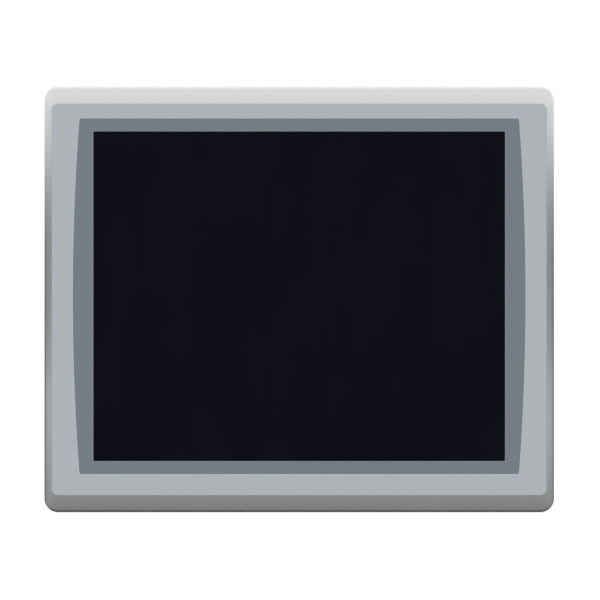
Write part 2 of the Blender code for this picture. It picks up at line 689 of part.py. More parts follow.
def display_housing(material):
    depth = HOUSING_DEPTH - HOUSING_FRONT_Y
    pan = open_pan("display_housing", HOUSING_WIDTH, HOUSING_HEIGHT, depth, HOUSING_FRONT_Y)
    inside = HOUSING_DEPTH - SHEET
    posts = [rod(f"post_{i}", POST_RADIUS, inside - HOUSING_FRONT_Y + SHEET / 2,
                 (x, (inside + HOUSING_FRONT_Y + SHEET / 2) / 2, z))
             for i, (x, z) in enumerate(post_places(), 1)]
    outer, inner = board_places()
    feet = [rod(f"standoff_{i}", STANDOFF_RADIUS, STANDOFF + SHEET / 2,
                (x, HOUSING_DEPTH + (STANDOFF - SHEET / 2) / 2, z), sides=12)
            for i, (x, z) in enumerate(outer, 1)]
    feet += [rod(f"inner_standoff_{i}", STANDOFF_RADIUS, STANDOFF + SHEET / 2,
                 (x, inside - (STANDOFF - SHEET / 2) / 2, z), sides=12)
             for i, (x, z) in enumerate(inner, 1)]
    nuts = [rod(f"nut_{i}", NUT_RADIUS, NUT_HEIGHT + SHEET / 2,
                (x, inside - (NUT_HEIGHT - SHEET / 2) / 2, z), sides=12)
            for i, (x, z) in enumerate(flange_screw_places() + [GROUND_PLACE], 1)]
    combine_many(pan, posts + feet + nuts, "UNION")
    bores = [rod(f"post_bore_{i}", POST_BORE, 3 * HOUSING_DEPTH, (x, HOUSING_DEPTH / 2, z))
             for i, (x, z) in enumerate(post_places(), 1)]
    bores += [rod(f"nut_bore_{i}", COVER_SCREW_RADIUS + GAP, 4 * NUT_HEIGHT, (x, HOUSING_DEPTH, z),
                  sides=12)
              for i, (x, z) in enumerate(flange_screw_places(), 1)]
    bores.append(rod("ground_bore", GROUND_RADIUS + GAP, 4 * NUT_HEIGHT,
                     (GROUND_PLACE[0], HOUSING_DEPTH, GROUND_PLACE[1]), sides=12))
    window_z = BOARD_TOP_Z + TOP_ROOM / 2
    bores.append(block("cable_window", (CABLE_WINDOW[0], 4 * SHEET, CABLE_WINDOW[1]),
                       (DISPLAY_CABLE_X, HOUSING_DEPTH, window_z), 2 * GAP))
    for side, name in ((1.0, "top"), (-1.0, "bottom")):
        middle = (0.0, HOUSING_DEPTH / 2, side * HOUSING_HEIGHT / 2)
        bores += row_of_vents(f"{name}_vent", HOUSING_VENTS, middle, (VENT_PITCH, 0.0, 0.0),
                              (VENT_WIDTH, VENT_LENGTH, 4 * SHEET))
    for index, (pivot, outward) in enumerate(lever_places(), 1):
        bores.append(lever_slot(index, pivot, outward))
    return keep(combine_many(pan, bores), material)


def screw(name, place, head_y, shank, radius, head_radius, material):
    """A pan-head screw driven towards -Y: its head's seat is at head_y."""
    profile = [(out * head_radius, up * SCREW_HEAD) for out, up in SCREW_DOME]
    profile += [(radius, 0.0), (radius, -shank), (0.0, -shank)]
    made = turned(name, profile, sides=16)
    made.matrix_world = Matrix.Translation((place[0], head_y, place[1])) @ Matrix.Rotation(
        -math.pi / 2, 4, "X")
    return keep(made, material)


def housing_screws(material):
    shank = HOUSING_DEPTH - BEZEL_BACK_Y + SCREW_BITE
    return [screw(f"housing_screw_{i}", place, HOUSING_DEPTH + GAP, shank, SCREW_RADIUS,
                  SCREW_HEAD_RADIUS, material) for i, place in enumerate(post_places(), 1)]


def cover_screws(material):
    seat = MODULE_Y + SHEET + GAP
    return [screw(f"cover_screw_{i}", place, seat, 2 * SHEET + NUT_HEIGHT, COVER_SCREW_RADIUS,
                  COVER_SCREW_HEAD_RADIUS, material)
            for i, place in enumerate(flange_screw_places(), 1)]


def ground_screw(material):
    return screw("ground_screw", GROUND_PLACE, HOUSING_DEPTH + GAP, NUT_HEIGHT + SHEET, GROUND_RADIUS,
                 SCREW_HEAD_RADIUS, material)


# -------------------------------------------------------------- mounting levers

def lever_outline():
    """Hub and tip circles joined by their tangents, the tip towards +X."""
    reach = LEVER_PIVOT - PANEL_SHEET - LEVER_TIP
    lean = math.acos((LEVER_HUB - LEVER_TIP) / reach)
    points = arc((reach, 0.0), LEVER_TIP, -lean, lean)
    points += arc((0.0, 0.0), LEVER_HUB, lean, 2 * math.pi - lean)
    return points, reach


def lever_mesh():
    """One lever: plate and grip outside the wall, stem through it and head inside it.

    Local Z points out of the wall, its outer face is at zero, and the tip points along local X.
    """
    points, reach = lever_outline()
    plate = flat_outline("lever_blank", points, LEVER_PLATE)
    plate.location = (0.0, 0.0, GAP + LEVER_PLATE / 2)
    inside = -(SHEET + LEVER_PLAY)
    profile = [(0.0, LEVER_PLATE), (LEVER_STEM, LEVER_PLATE), (LEVER_STEM, inside), (LEVER_HEAD, inside),
               (LEVER_HEAD, inside - LEVER_HEAD_THICK), (0.0, inside - LEVER_HEAD_THICK)]
    stem = turned("lever_stem", profile, sides=20)
    grip = block("lever_grip", (reach + LEVER_HUB / 2, LEVER_TIP / 2, LEVER_GRIP + GAP),
                 (reach / 2, 0.0, LEVER_PLATE + LEVER_GRIP / 2))
    combine(plate, [stem, grip], "UNION")
    return solid_mesh(plate)


def mounting_levers(material):
    made = []
    blank = lever_mesh()
    mesh = blank.data
    mesh.transform(blank.matrix_world)
    for index, (pivot, outward) in enumerate(lever_places(), 1):
        lever = bpy.data.objects.new(f"mounting_lever_{index}", mesh)
        lever.matrix_world = wall_turn(pivot, outward)
        made.append(keep(lever, material))
    bpy.data.objects.remove(blank)
    return made


# -------------------------------------------------------------- logic module

def port_list():
    """Every port as (name, x, size), all on the boards' back and flush in the port wall."""
    ports = [(f"ethernet_port_{i}", x, ETHERNET) for i, x in enumerate(ETHERNET_X, 1)]
    ports += [(f"usb_port_{i}", x, USB_HOST) for i, x in enumerate(USB_HOST_X, 1)]
    ports.append(("usb_device_port", USB_DEVICE_X, USB_DEVICE))
    ports.append(("power_header", HEADER_X, HEADER))
    ports.append(("card_socket", CARD_X, socket_size()))
    return ports


def socket_size():
    width = CARD[0] + 2 * (SOCKET_WALL + GAP)
    depth = CARD[1] - CARD_OUT + CARD_OVERTRAVEL + SOCKET_WALL + PORT_PROUD
    height = CARD[2] + 2 * (SOCKET_WALL + GAP)
    return width, depth, height


def port_block(name, x, size):
    return span(name, (x - size[0] / 2, x + size[0] / 2), (PORT_Y, PORT_Y + size[2]),
                (PORT_MOUTH_Z, PORT_MOUTH_Z + size[1]))


def port_cavity(name, x, size, wall, depth):
    """The mouth of a port, with an even wall."""
    return span(f"{name}_mouth", (x - size[0] / 2 + wall, x + size[0] / 2 - wall),
                (PORT_Y + wall, PORT_Y + size[2] - wall), (PORT_MOUTH_Z - SLACK, PORT_MOUTH_Z + depth))


def ethernet_port(name, x, material):
    jack = port_block(name, x, ETHERNET)
    mouth = port_cavity(name, x, ETHERNET, 2 * PORT_WALL, ETHERNET[1] - 4 * PORT_WALL)
    latch = block(f"{name}_latch", (ETHERNET[0] / 3, 2 * PORT_WALL, ETHERNET[1]),
                  (x, PORT_Y + 2 * PORT_WALL, PORT_MOUTH_Z + SLACK))
    return keep(combine(jack, [mouth, latch]), material)


def usb_port(name, x, material):
    shell = port_block(name, x, USB_HOST)
    wall = PORT_WALL / 3
    depth = USB_HOST[1] - 2 * PORT_WALL
    mouth = port_cavity(name, x, USB_HOST, wall, depth)
    tongue = block(f"{name}_tongue", (USB_HOST[0] - 6 * wall, 4 * wall, depth - PORT_WALL),
                   (x, PORT_Y + USB_HOST[2] / 2 - 2 * wall, PORT_MOUTH_Z + PORT_WALL + depth / 2))
    combine(shell, [mouth])
    return keep(combine(shell, [tongue], "UNION"), material)


def usb_device_port(material):
    name = "usb_device_port"
    shell = port_block(name, USB_DEVICE_X, USB_DEVICE)
    depth = USB_DEVICE[1] - 2 * PORT_WALL
    mouth = port_cavity(name, USB_DEVICE_X, USB_DEVICE, PORT_WALL, depth)
    tongue = block(f"{name}_tongue", (USB_DEVICE[0] / 2, USB_DEVICE[2] / 3, depth - PORT_WALL),
                   (USB_DEVICE_X, PORT_Y + USB_DEVICE[2] / 2, PORT_MOUTH_Z + PORT_WALL + depth / 2))
    combine(shell, [mouth])
    return keep(combine(shell, [tongue], "UNION"), material)


def pole_places():
    return [HEADER_X + POLE_PITCH * (i - (POLES - 1) / 2) for i in range(POLES)]


def header_cavity_depth():
    return HEADER[1] - 2 * PORT_WALL


def power_header(material):
    shell = port_block("power_header", HEADER_X, HEADER)
    mouth = port_cavity("power_header", HEADER_X, HEADER, PORT_WALL, header_cavity_depth())
    middle_y = PORT_Y + HEADER[2] / 2
    top = PORT_MOUTH_Z + header_cavity_depth() + PORT_WALL
    pins = [span(f"header_pin_{i}", (x - PIN / 2, x + PIN / 2), (middle_y - PIN / 2, middle_y + PIN / 2),
                 (top - PIN_LENGTH, top)) for i, x in enumerate(pole_places(), 1)]
    combine(shell, [mouth])
    return keep(combine(shell, pins, "UNION"), material)


def power_plug(material):
    """The plug: a body below the port wall and a nose in the header, with bores for pins, wires, screws."""
    middle_y = PORT_Y + HEADER[2] / 2
    top = PORT_MOUTH_Z - 2 * GAP
    low = top - PLUG_BODY[1]
    body = span("power_plug", (HEADER_X - PLUG_BODY[0] / 2, HEADER_X + PLUG_BODY[0] / 2),
                (middle_y - PLUG_BODY[2] / 2, middle_y + PLUG_BODY[2] / 2), (low, top))
    half_x = HEADER[0] / 2 - PORT_WALL - GAP
    half_y = HEADER[2] / 2 - PORT_WALL - GAP
    nose = span("plug_nose", (HEADER_X - half_x, HEADER_X + half_x), (middle_y - half_y, middle_y + half_y),
                (top - SLACK, PORT_MOUTH_Z + header_cavity_depth() - 2 * GAP))
    combine(body, [nose], "UNION")
    bores = []
    face_y = middle_y + PLUG_BODY[2] / 2
    for i, x in enumerate(pole_places(), 1):
        bores.append(block(f"pin_bore_{i}", (PIN + 2 * GAP, PIN + 2 * GAP, 2 * PIN_LENGTH),
                           (x, middle_y, PORT_MOUTH_Z + header_cavity_depth())))
        bores.append(rod(f"wire_bore_{i}", WIRE_HOLE, 2 * WIRE_BORE_DEPTH, (x, middle_y, low), "Z",
                         sides=16))
        # each screw bore runs down to the middle of the wire bore that it clamps
        bores.append(rod(f"screw_bore_{i}", CLAMP_SCREW + GAP, PLUG_BODY[2],
                         (x, face_y, low + CLAMP_SCREW_RISE), sides=16))
    return keep(combine_many(body, bores), material)


def plug_screws(material):
    made = []
    face_y = PORT_Y + HEADER[2] / 2 + PLUG_BODY[2] / 2
    z = PORT_MOUTH_Z - 2 * GAP - PLUG_BODY[1] + CLAMP_SCREW_RISE
    for i, x in enumerate(pole_places(), 1):
        pin = rod(f"power_plug_screw_{i}", CLAMP_SCREW, CLAMP_SCREW_LENGTH,
                  (x, face_y - CLAMP_SCREW_LENGTH / 2 - GAP, z), sides=16)
        slot = block(f"driver_slot_{i}", (3 * CLAMP_SCREW, 4 * GAP, 2 * GAP), (x, face_y - GAP, z))
        made.append(keep(combine(pin, [slot]), material))
    return made


def card_top():
    return PORT_WALL_Z - CARD_OUT + CARD[1]


def card_socket(material):
    size = socket_size()
    shell = port_block("card_socket", CARD_X, size)
    mouth = port_cavity("card_socket", CARD_X, size, SOCKET_WALL, size[1] - SOCKET_WALL)
    return keep(combine(shell, [mouth]), material)


def memory_card(material):
    half = CARD[0] / 2
    low = PORT_WALL_Z - CARD_OUT
    high = card_top()
    outline = [(-half, low), (half, low), (half, high - CARD_CHAMFER), (half - CARD_CHAMFER, high),
               (-half, high)]
    card = flat_outline("memory_card", outline, CARD[2])
    y = PORT_Y + SOCKET_WALL + GAP + CARD[2] / 2
    card.matrix_world = Matrix.Translation((CARD_X, y, 0.0)) @ Matrix.Rotation(math.pi / 2, 4, "X")
    return keep(card, material)


def board(name, x, z, y, parts, material):
    """A circuit board with the parts soldered to it."""
    plate = span(name, x, (y, y + BOARD), z)
    return keep(combine_many(plate, parts, "UNION"), material)


def part_on_board(name, size, place, y):
    """A component's body, let a little into the board so that the two join."""
    sink = BOARD / 4
    return span(name, (place[0] - size[0] / 2, place[0] + size[0] / 2), (y - sink, y + size[2]),
                (place[1] - size[1] / 2, place[1] + size[1] / 2))


def main_board(material):
    face = BOARD_Y + BOARD
    left = BOARD_MARGIN + POWER_BOARD_WIDTH + BOARD_SPACE - MODULE_WIDTH / 2
    right = MODULE_WIDTH / 2 - BOARD_MARGIN
    parts = [part_on_board("processor", CHIP, CHIP_PLACE, face)]
    for column in range(2):
        for row in range(2):
            place = (MEMORY_PLACE[0] + MEMORY_CHIP_STEP[0] * column,
                     MEMORY_PLACE[1] + MEMORY_CHIP_STEP[1] * row)
            parts.append(part_on_board(f"memory_chip_{column}{row}", MEMORY_CHIP, place, face))
    for i in range(CHOKES):
        place = (CHOKE_PLACE[0] + CHOKE_STEP * i, CHOKE_PLACE[1])
        parts.append(part_on_board(f"choke_{i}", CHOKE, place, face))
    for i, place in enumerate(PORT_CHIP_PLACES):
        parts.append(part_on_board(f"port_chip_{i}", PORT_CHIP, place, face))
    parts.append(part_on_board("display_connector", DISPLAY_CONNECTOR,
                               (DISPLAY_CABLE_X, DISPLAY_CONNECTOR_Z), face))
    return board("main_board", (left, right), (BOARD_BOTTOM_Z, BOARD_TOP_Z), BOARD_Y, parts, material)


def power_board(material):
    face = BOARD_Y + BOARD
    left = BOARD_MARGIN - MODULE_WIDTH / 2
    right = left + POWER_BOARD_WIDTH
    parts = [part_on_board("transformer", TRANSFORMER, (HEADER_X, TRANSFORMER_Z), face),
             part_on_board("filter_choke", FILTER, (HEADER_X, FILTER_Z), face),
             part_on_board("lead_connector", LEAD_CONNECTOR, (right - LEAD_END, LEAD_Z), face)]
    sink = BOARD / 4
    for i in range(CAPACITORS):
        x = HEADER_X + CAPACITOR_STEP * (i - (CAPACITORS - 1) / 2)
        parts.append(rod(f"capacitor_{i}", CAPACITOR_RADIUS, CAPACITOR_HEIGHT + sink,
                         (x, face + (CAPACITOR_HEIGHT - sink) / 2, CAPACITOR_Z), sides=16))
    return board("power_board", (left, right), (BOARD_BOTTOM_Z, BOARD_TOP_Z), BOARD_Y, parts, material)


def small_board(name, size, place, chips, material):
    """A board on the housing's inner standoffs, its parts towards the LCD."""
    y = INNER_BOARD_Y - BOARD
    parts = []
    for i in range(chips):
        x = place[0] + size[0] * ((i + 0.5) / chips - 0.5)
        parts.append(span(f"{name}_chip_{i}", (x - SMALL_CHIP[0] / 2, x + SMALL_CHIP[0] / 2),
                          (y - SMALL_CHIP[2], y + BOARD / 4),
                          (place[1] - SMALL_CHIP[1] / 2, place[1] + SMALL_CHIP[1] / 2)))
    return board(name, (place[0] - size[0] / 2, place[0] + size[0] / 2),
                 (place[1] - size[1] / 2, place[1] + size[1] / 2), y, parts, material)


def heat_sink(material):
    """A comb of fins on a base, its comb outline run along Z."""
    base_y = BOARD_Y + BOARD + CHIP[2] + GAP
    top = SINK[2]
    pitch = (SINK[0] - SINK_FIN) / (SINK_FINS - 1)
    outline = [(-SINK[0] / 2, 0.0)]
    for i in range(SINK_FINS):
        left = -SINK[0] / 2 + pitch * i
        outline += [(left, top), (left + SINK_FIN, top)]
        if i < SINK_FINS - 1:
            outline += [(left + SINK_FIN, SINK_BASE), (left + pitch, SINK_BASE)]
    outline.append((SINK[0] / 2, 0.0))
    comb = flat_outline("heat_sink", outline, SINK[1])
    comb.location = (CHIP_PLACE[0], base_y, CHIP_PLACE[1])
    return keep(comb, material)


def battery_holder(material):
    holder = block("battery_holder", (HOLDER, HOLDER_HEIGHT, HOLDER),
                   (HOLDER_PLACE[0], PORT_Y + HOLDER_HEIGHT / 2, HOLDER_PLACE[1]), SHEET)
    well = rod("battery_well", BATTERY_RADIUS + GAP, 2 * (BATTERY + GAP),
               (HOLDER_PLACE[0], PORT_Y + HOLDER_HEIGHT, HOLDER_PLACE[1]))
    return keep(combine(holder, [well]), material)


def battery_cell(material):
    cell = rod("battery_cell", BATTERY_RADIUS, BATTERY,
               (HOLDER_PLACE[0], PORT_Y + HOLDER_HEIGHT - BATTERY / 2, HOLDER_PLACE[1]))
    return keep(cell, material)


def module_cover(material):
    """A vented pan over the boards, flanged at left and right, with a cut-out for each port."""
    pan = open_pan("module_cover", MODULE_WIDTH, MODULE_HEIGHT, MODULE_DEPTH, MODULE_Y, MODULE_RISE)
    flanges = []
    for side, name in ((1.0, "right"), (-1.0, "left")):
        inner = side * (MODULE_WIDTH / 2 - SHEET)
        outer = side * (MODULE_WIDTH / 2 + FLANGE)
        flanges.append(span(f"{name}_flange", (min(inner, outer), max(inner, outer)),
                            (MODULE_Y, MODULE_Y + SHEET),
                            (MODULE_RISE - MODULE_HEIGHT / 2 + SHEET_CORNER,
                             MODULE_RISE + MODULE_HEIGHT / 2 - SHEET_CORNER)))
    combine_many(pan, flanges, "UNION")
    holes = [rod(f"flange_hole_{i}", COVER_SCREW_RADIUS + 2 * GAP, 4 * SHEET, (x, MODULE_Y, z), sides=12)
             for i, (x, z) in enumerate(flange_screw_places(), 1)]
    for name, x, size in port_list():
        holes.append(span(f"{name}_cutout", (x - size[0] / 2 - GAP, x + size[0] / 2 + GAP),
                          (PORT_Y - GAP, PORT_Y + size[2] + GAP),
                          (PORT_WALL_Z - SLACK, PORT_WALL_Z + SHEET + SLACK)))
    top = MODULE_RISE + MODULE_HEIGHT / 2
    middle_y = MODULE_Y + MODULE_DEPTH / 2
    holes += row_of_vents("roof_vent", ROOF_VENTS, (0.0, middle_y, top), (VENT_PITCH, 0.0, 0.0),
                          (VENT_WIDTH, VENT_LENGTH, 4 * SHEET))
    for row, rise in enumerate(BACK_VENT_ROWS, 1):
        holes += row_of_vents(f"back_vent_{row}", BACK_VENTS,
                              (CHIP_PLACE[0], MODULE_BACK_Y, CHIP_PLACE[1] + rise),
                              (VENT_PITCH, 0.0, 0.0), (VENT_WIDTH, 4 * SHEET, BACK_VENT_LENGTH))
    return keep(combine_many(pan, holes), material)


def rating_label(material):
    plate = block("rating_label", (RATING_LABEL[0], RATING_LABEL[2], RATING_LABEL[1]),
                  (RATING_PLACE[0], MODULE_BACK_Y + GAP + RATING_LABEL[2] / 2, RATING_PLACE[1]),
                  SHEET)
    return keep(plate, material)


# --------------------------------------------------------------------- leads

def smooth_route(points, steps=4):
    """Catmull-Rom points through the route's own points."""
    route = [Vector(p) for p in points]
    ends = [route[0] * 2 - route[1]] + route + [route[-1] * 2 - route[-2]]
    smooth = []
    for a, b, c, d in zip(ends, ends[1:], ends[2:], ends[3:]):
        for step in range(steps):
            t = step / steps
            smooth.append(0.5 * (2 * b + (c - a) * t + (2 * a - 5 * b + 4 * c - d) * t * t
                                 + (3 * b - a - 3 * c + d) * t ** 3))
    return smooth + [route[-1]]


def lead(name, points, radius, material):
    curve = bpy.data.curves.new(name, "CURVE")
    curve.dimensions = "3D"
    curve.bevel_depth = radius
    curve.bevel_resolution = 2
    curve.use_fill_caps = True
    line = curve.splines.new("POLY")
    route = smooth_route(points)
    line.points.add(len(route) - 1)
    for point, place in zip(line.points, route):
        point.co = (*place, 1.0)
    return keep(solid_mesh(bpy.data.objects.new(name, curve)), material)


def display_cable(material):
    """From the main board's connector over the board's top edge and through the housing to the LCD."""
    face = BOARD_Y + BOARD + DISPLAY_CONNECTOR[2]
    x = DISPLAY_CABLE_X
    window_z = BOARD_TOP_Z + TOP_ROOM / 2
    start = face + GAP + CABLE_RADIUS
    end = TRAY_BACK_Y + GAP + CABLE_RADIUS
    points = [(x, start, DISPLAY_CONNECTOR_Z), (x, start + 0.0010, BOARD_TOP_Z - 0.0050),
              (x, BOARD_Y, window_z - 0.0010), (x, HOUSING_DEPTH, window_z), (x, 0.0200, window_z),
              (x, end + 0.0020, window_z - 0.0100), (x, end, window_z - 0.0250)]
    return lead("display_cable", points, CABLE_RADIUS, material)


def backlight_cable(material):
    """From the backlight board to the LCD tray."""
    x = BACKLIGHT_BOARD_PLACE[0]
    z = BACKLIGHT_BOARD_PLACE[1] + BACKLIGHT_BOARD[1] / 2
    board_y = INNER_BOARD_Y - BOARD - GAP - CABLE_RADIUS
    end = TRAY_BACK_Y + GAP + CABLE_RADIUS
    points = [(x + 0.0250, board_y, z - 0.0100), (x + 0.0250, board_y - 0.0005, z + 0.0020),
              (x + 0.0250, (board_y + end) / 2, z + 0.0140), (x + 0.0250, end, z + 0.0260),
              (x + 0.0250, end, z + 0.0400)]
    return lead("backlight_cable", points, CABLE_RADIUS, material)


def power_lead(material):
    """From the power board's connector across to the main board."""
    split = BOARD_MARGIN + POWER_BOARD_WIDTH - MODULE_WIDTH / 2
    y = BOARD_Y + BOARD + LEAD_CONNECTOR[2] + GAP + CABLE_RADIUS
    low = BOARD_Y + BOARD + GAP + CABLE_RADIUS
    points = [(split - LEAD_END, y, LEAD_Z), (split, y + 0.0010, LEAD_Z + 0.0002),
              (split + 0.0100, y - 0.0010, LEAD_Z + 0.0005), (split + 0.0160, low, LEAD_Z + 0.0005),
              (split + 0.0190, low, LEAD_Z + 0.0005)]
    return lead("power_lead", points, CABLE_RADIUS, material)


def touch_tail(material):
    """A flat flex from under the glass, through the bezel's notch, round the LCD to the touch board."""
    low = WINDOW_RISE - GLASS_HEIGHT / 2
    under = WINDOW_RISE - LCD_HEIGHT / 2 - TAIL_CLEAR
    start = (GLASS_Y - GLASS / 2, low - GAP)
    end_y = INNER_BOARD_Y - BOARD - GAP - RIBBON
    route = [start, (start[0], under + TAIL_BEND), (start[0] + TAIL_BEND, under),
             (end_y - 3 * TAIL_BEND, under), (end_y - TAIL_BEND, under + TAIL_BEND),
             (end_y, under + 3 * TAIL_BEND), (end_y, under + 3 * TAIL_BEND + TAIL_LAP)]
    half = RIBBON / 2
    one = offset_route(route, half)
    other = offset_route(route, -half)
    ribbon = flat_outline("touch_tail", one + other[::-1], TAIL_WIDTH)
    # local X runs along Y and local Y up, so the strip's width lies along X
    upright = Matrix(((0.0, 0.0, 1.0), (1.0, 0.0, 0.0), (0.0, 1.0, 0.0))).to_4x4()
    ribbon.matrix_world = Matrix.Translation((TOUCH_BOARD_PLACE[0], 0.0, 0.0)) @ upright
    return keep(ribbon, material)


def offset_route(route, distance):
    """The route moved sideways by a distance, mitred at its bends."""
    points = [Vector(p) for p in route]
    moved = []
    for i, point in enumerate(points):
        before = (point - points[i - 1]).normalized() if i else (points[1] - point).normalized()
        after = (points[i + 1] - point).normalized() if i < len(points) - 1 else before
        side_a = Vector((-before.y, before.x))
        side_b = Vector((-after.y, after.x))
        mitre = (side_a + side_b).normalized()
        moved.append(tuple(point + mitre * distance / mitre.dot(side_a)))
    return moved


# -------------------------------------------------------------------- build

clear_scene()
PARTS = new_collection("touch_panel")
CUTTERS = new_collection("cutters")

silver = finish("silver paint", (0.55, 0.56, 0.57), 0.42, 0.6)
light_film = finish("light grey film", (0.42, 0.45, 0.47), 0.55, 0.0)
dark_film = finish("dark grey film", (0.18, 0.20, 0.23), 0.5, 0.0)
black_glass = finish("black glass", (0.005, 0.005, 0.010), 0.15, 0.0)
foam = finish("black foam", (0.02, 0.02, 0.02), 0.9, 0.0)
rubber = finish("black rubber", (0.03, 0.03, 0.03), 0.75, 0.0)
bright_steel = finish("bright steel", (0.55, 0.56, 0.57), 0.35, 1.0)
zinc = finish("zinc-plated steel", (0.50, 0.51, 0.52), 0.45, 1.0)
cell_glass = finish("cell glass", (0.02, 0.02, 0.03), 0.1, 0.0)
acrylic = finish("clear acrylic", (0.85, 0.88, 0.90), 0.1, 0.0)
board_white = finish("white board", (0.80, 0.80, 0.78), 0.5, 0.0)
board_green = finish("green board", (0.02, 0.12, 0.06), 0.45, 0.0)
aluminium = finish("bare aluminium", (0.60, 0.61, 0.62), 0.4, 1.0)
black_plastic = finish("black plastic", (0.02, 0.02, 0.02), 0.5, 0.0)
grey_plastic = finish("grey plastic", (0.16, 0.17, 0.18), 0.5, 0.0)
green_plastic = finish("green plastic", (0.05, 0.30, 0.12), 0.5, 0.0)
blue_plastic = finish("blue plastic", (0.03, 0.08, 0.30), 0.5, 0.0)
flex = finish("amber flex", (0.45, 0.20, 0.04), 0.4, 0.0)
cable_black = finish("black cable", (0.03, 0.03, 0.03), 0.6, 0.0)
cable_red = finish("red cable", (0.40, 0.03, 0.02), 0.6, 0.0)
foil = finish("silver foil label", (0.62, 0.63, 0.64), 0.35, 0.4)

front_bezel(silver)
front_label(light_film)
window_border(dark_film)
touch_glass(black_glass)
touch_gasket(foam)
panel_gasket(rubber)
lcd_frame(bright_steel)
lcd_cell(cell_glass)
light_guide(acrylic)
led_strip("led_strip_top", 1.0, board_white)
led_strip("led_strip_bottom", -1.0, board_white)
lcd_tray(bright_steel)
lcd_bracket("lcd_bracket_right", 1.0, zinc)
lcd_bracket("lcd_bracket_left", -1.0, zinc)
small_board("touch_board", TOUCH_BOARD, TOUCH_BOARD_PLACE, 3, board_green)
small_board("backlight_board", BACKLIGHT_BOARD, BACKLIGHT_BOARD_PLACE, 4, board_green)
display_housing(zinc)
housing_screws(bright_steel)
ground_screw(bright_steel)
mounting_levers(grey_plastic)
main_board(board_green)
power_board(board_green)
heat_sink(aluminium)
battery_holder(black_plastic)
battery_cell(bright_steel)
for number, port_x in enumerate(ETHERNET_X, 1):
    ethernet_port(f"ethernet_port_{number}", port_x, bright_steel)
for number, port_x in enumerate(USB_HOST_X, 1):
    usb_port(f"usb_port_{number}", port_x, bright_steel)
usb_device_port(bright_steel)
power_header(green_plastic)
power_plug(green_plastic)
plug_screws(bright_steel)
card_socket(bright_steel)
memory_card(blue_plastic)
module_cover(zinc)
cover_screws(bright_steel)
rating_label(foil)
display_cable(cable_black)
backlight_cable(cable_black)
power_lead(cable_red)
touch_tail(flex)
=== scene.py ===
import json
import math

import bmesh
import bpy
from mathutils import Matrix, Vector

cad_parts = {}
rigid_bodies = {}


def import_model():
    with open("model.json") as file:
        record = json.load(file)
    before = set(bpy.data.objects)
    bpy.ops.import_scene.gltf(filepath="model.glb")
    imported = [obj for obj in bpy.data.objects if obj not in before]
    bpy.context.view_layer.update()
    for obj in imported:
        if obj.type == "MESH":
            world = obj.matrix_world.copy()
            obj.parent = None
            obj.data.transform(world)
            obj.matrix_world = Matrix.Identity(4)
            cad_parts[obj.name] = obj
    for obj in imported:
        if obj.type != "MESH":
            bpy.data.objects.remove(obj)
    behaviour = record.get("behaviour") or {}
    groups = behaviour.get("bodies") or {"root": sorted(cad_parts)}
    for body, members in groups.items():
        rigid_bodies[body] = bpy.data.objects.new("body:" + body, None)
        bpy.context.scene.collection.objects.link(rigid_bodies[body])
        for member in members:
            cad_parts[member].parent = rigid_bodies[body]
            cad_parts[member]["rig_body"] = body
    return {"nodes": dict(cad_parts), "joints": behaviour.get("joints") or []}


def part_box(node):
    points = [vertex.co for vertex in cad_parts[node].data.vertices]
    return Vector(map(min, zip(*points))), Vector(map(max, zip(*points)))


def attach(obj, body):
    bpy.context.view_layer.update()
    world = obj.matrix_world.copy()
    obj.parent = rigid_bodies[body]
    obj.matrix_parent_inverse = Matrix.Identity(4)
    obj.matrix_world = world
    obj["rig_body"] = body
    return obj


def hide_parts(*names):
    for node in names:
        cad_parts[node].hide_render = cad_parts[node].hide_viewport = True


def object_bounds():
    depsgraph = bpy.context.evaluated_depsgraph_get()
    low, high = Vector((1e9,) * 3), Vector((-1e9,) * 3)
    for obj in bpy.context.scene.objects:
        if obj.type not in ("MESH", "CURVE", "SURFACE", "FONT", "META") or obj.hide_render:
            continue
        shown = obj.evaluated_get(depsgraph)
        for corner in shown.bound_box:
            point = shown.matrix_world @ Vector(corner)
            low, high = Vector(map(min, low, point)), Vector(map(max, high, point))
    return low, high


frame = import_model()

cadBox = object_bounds()
bpy.context.scene.view_settings.view_transform = "Standard"
mm = 0.001
jointOf = {joint["name"]: joint for joint in frame["joints"]}

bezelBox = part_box("front_bezel")
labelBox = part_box("front_label")
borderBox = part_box("window_border")
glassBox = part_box("touch_glass")
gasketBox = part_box("panel_gasket")

screen = {"width": 379.4 * mm, "height": 303.8 * mm, "corner": 1.0 * mm}
screenRise = (glassBox[0].z + glassBox[1].z) / 2
border = {"cornerWidth": 404.8 * mm, "steps": 48, "corner": 1.2 * mm, "cornerSteps": 8}
border["halfX"] = border["cornerWidth"] / 2
border["halfZ"] = (borderBox[1].z - borderBox[0].z) / 2
border["bulge"] = borderBox[1].x - border["halfX"]
labelCorner = 6.0 * mm
gasketRing = {"width": 5.0 * mm, "corner": 9.5 * mm, "edge": 0.5 * mm}


class Wire:
    # a node's output, which ordinary sums can be written with
    def __init__(self, finish, socket):
        self.finish = finish
        self.socket = socket

    def sum(self, operation, left, right):
        return self.finish.node("ShaderNodeMath", {"operation": operation}, {0: left, 1: right})

    def __add__(self, other):
        return self.sum("ADD", self, other)

    def __radd__(self, other):
        return self.sum("ADD", other, self)

    def __sub__(self, other):
        return self.sum("SUBTRACT", self, other)

    def __rsub__(self, other):
        return self.sum("SUBTRACT", other, self)

    def __mul__(self, other):
        return self.sum("MULTIPLY", self, other)

    def __rmul__(self, other):
        return self.sum("MULTIPLY", other, self)

    def __truediv__(self, other):
        return self.sum("DIVIDE", self, other)

    def __rtruediv__(self, other):
        return self.sum("DIVIDE", other, self)


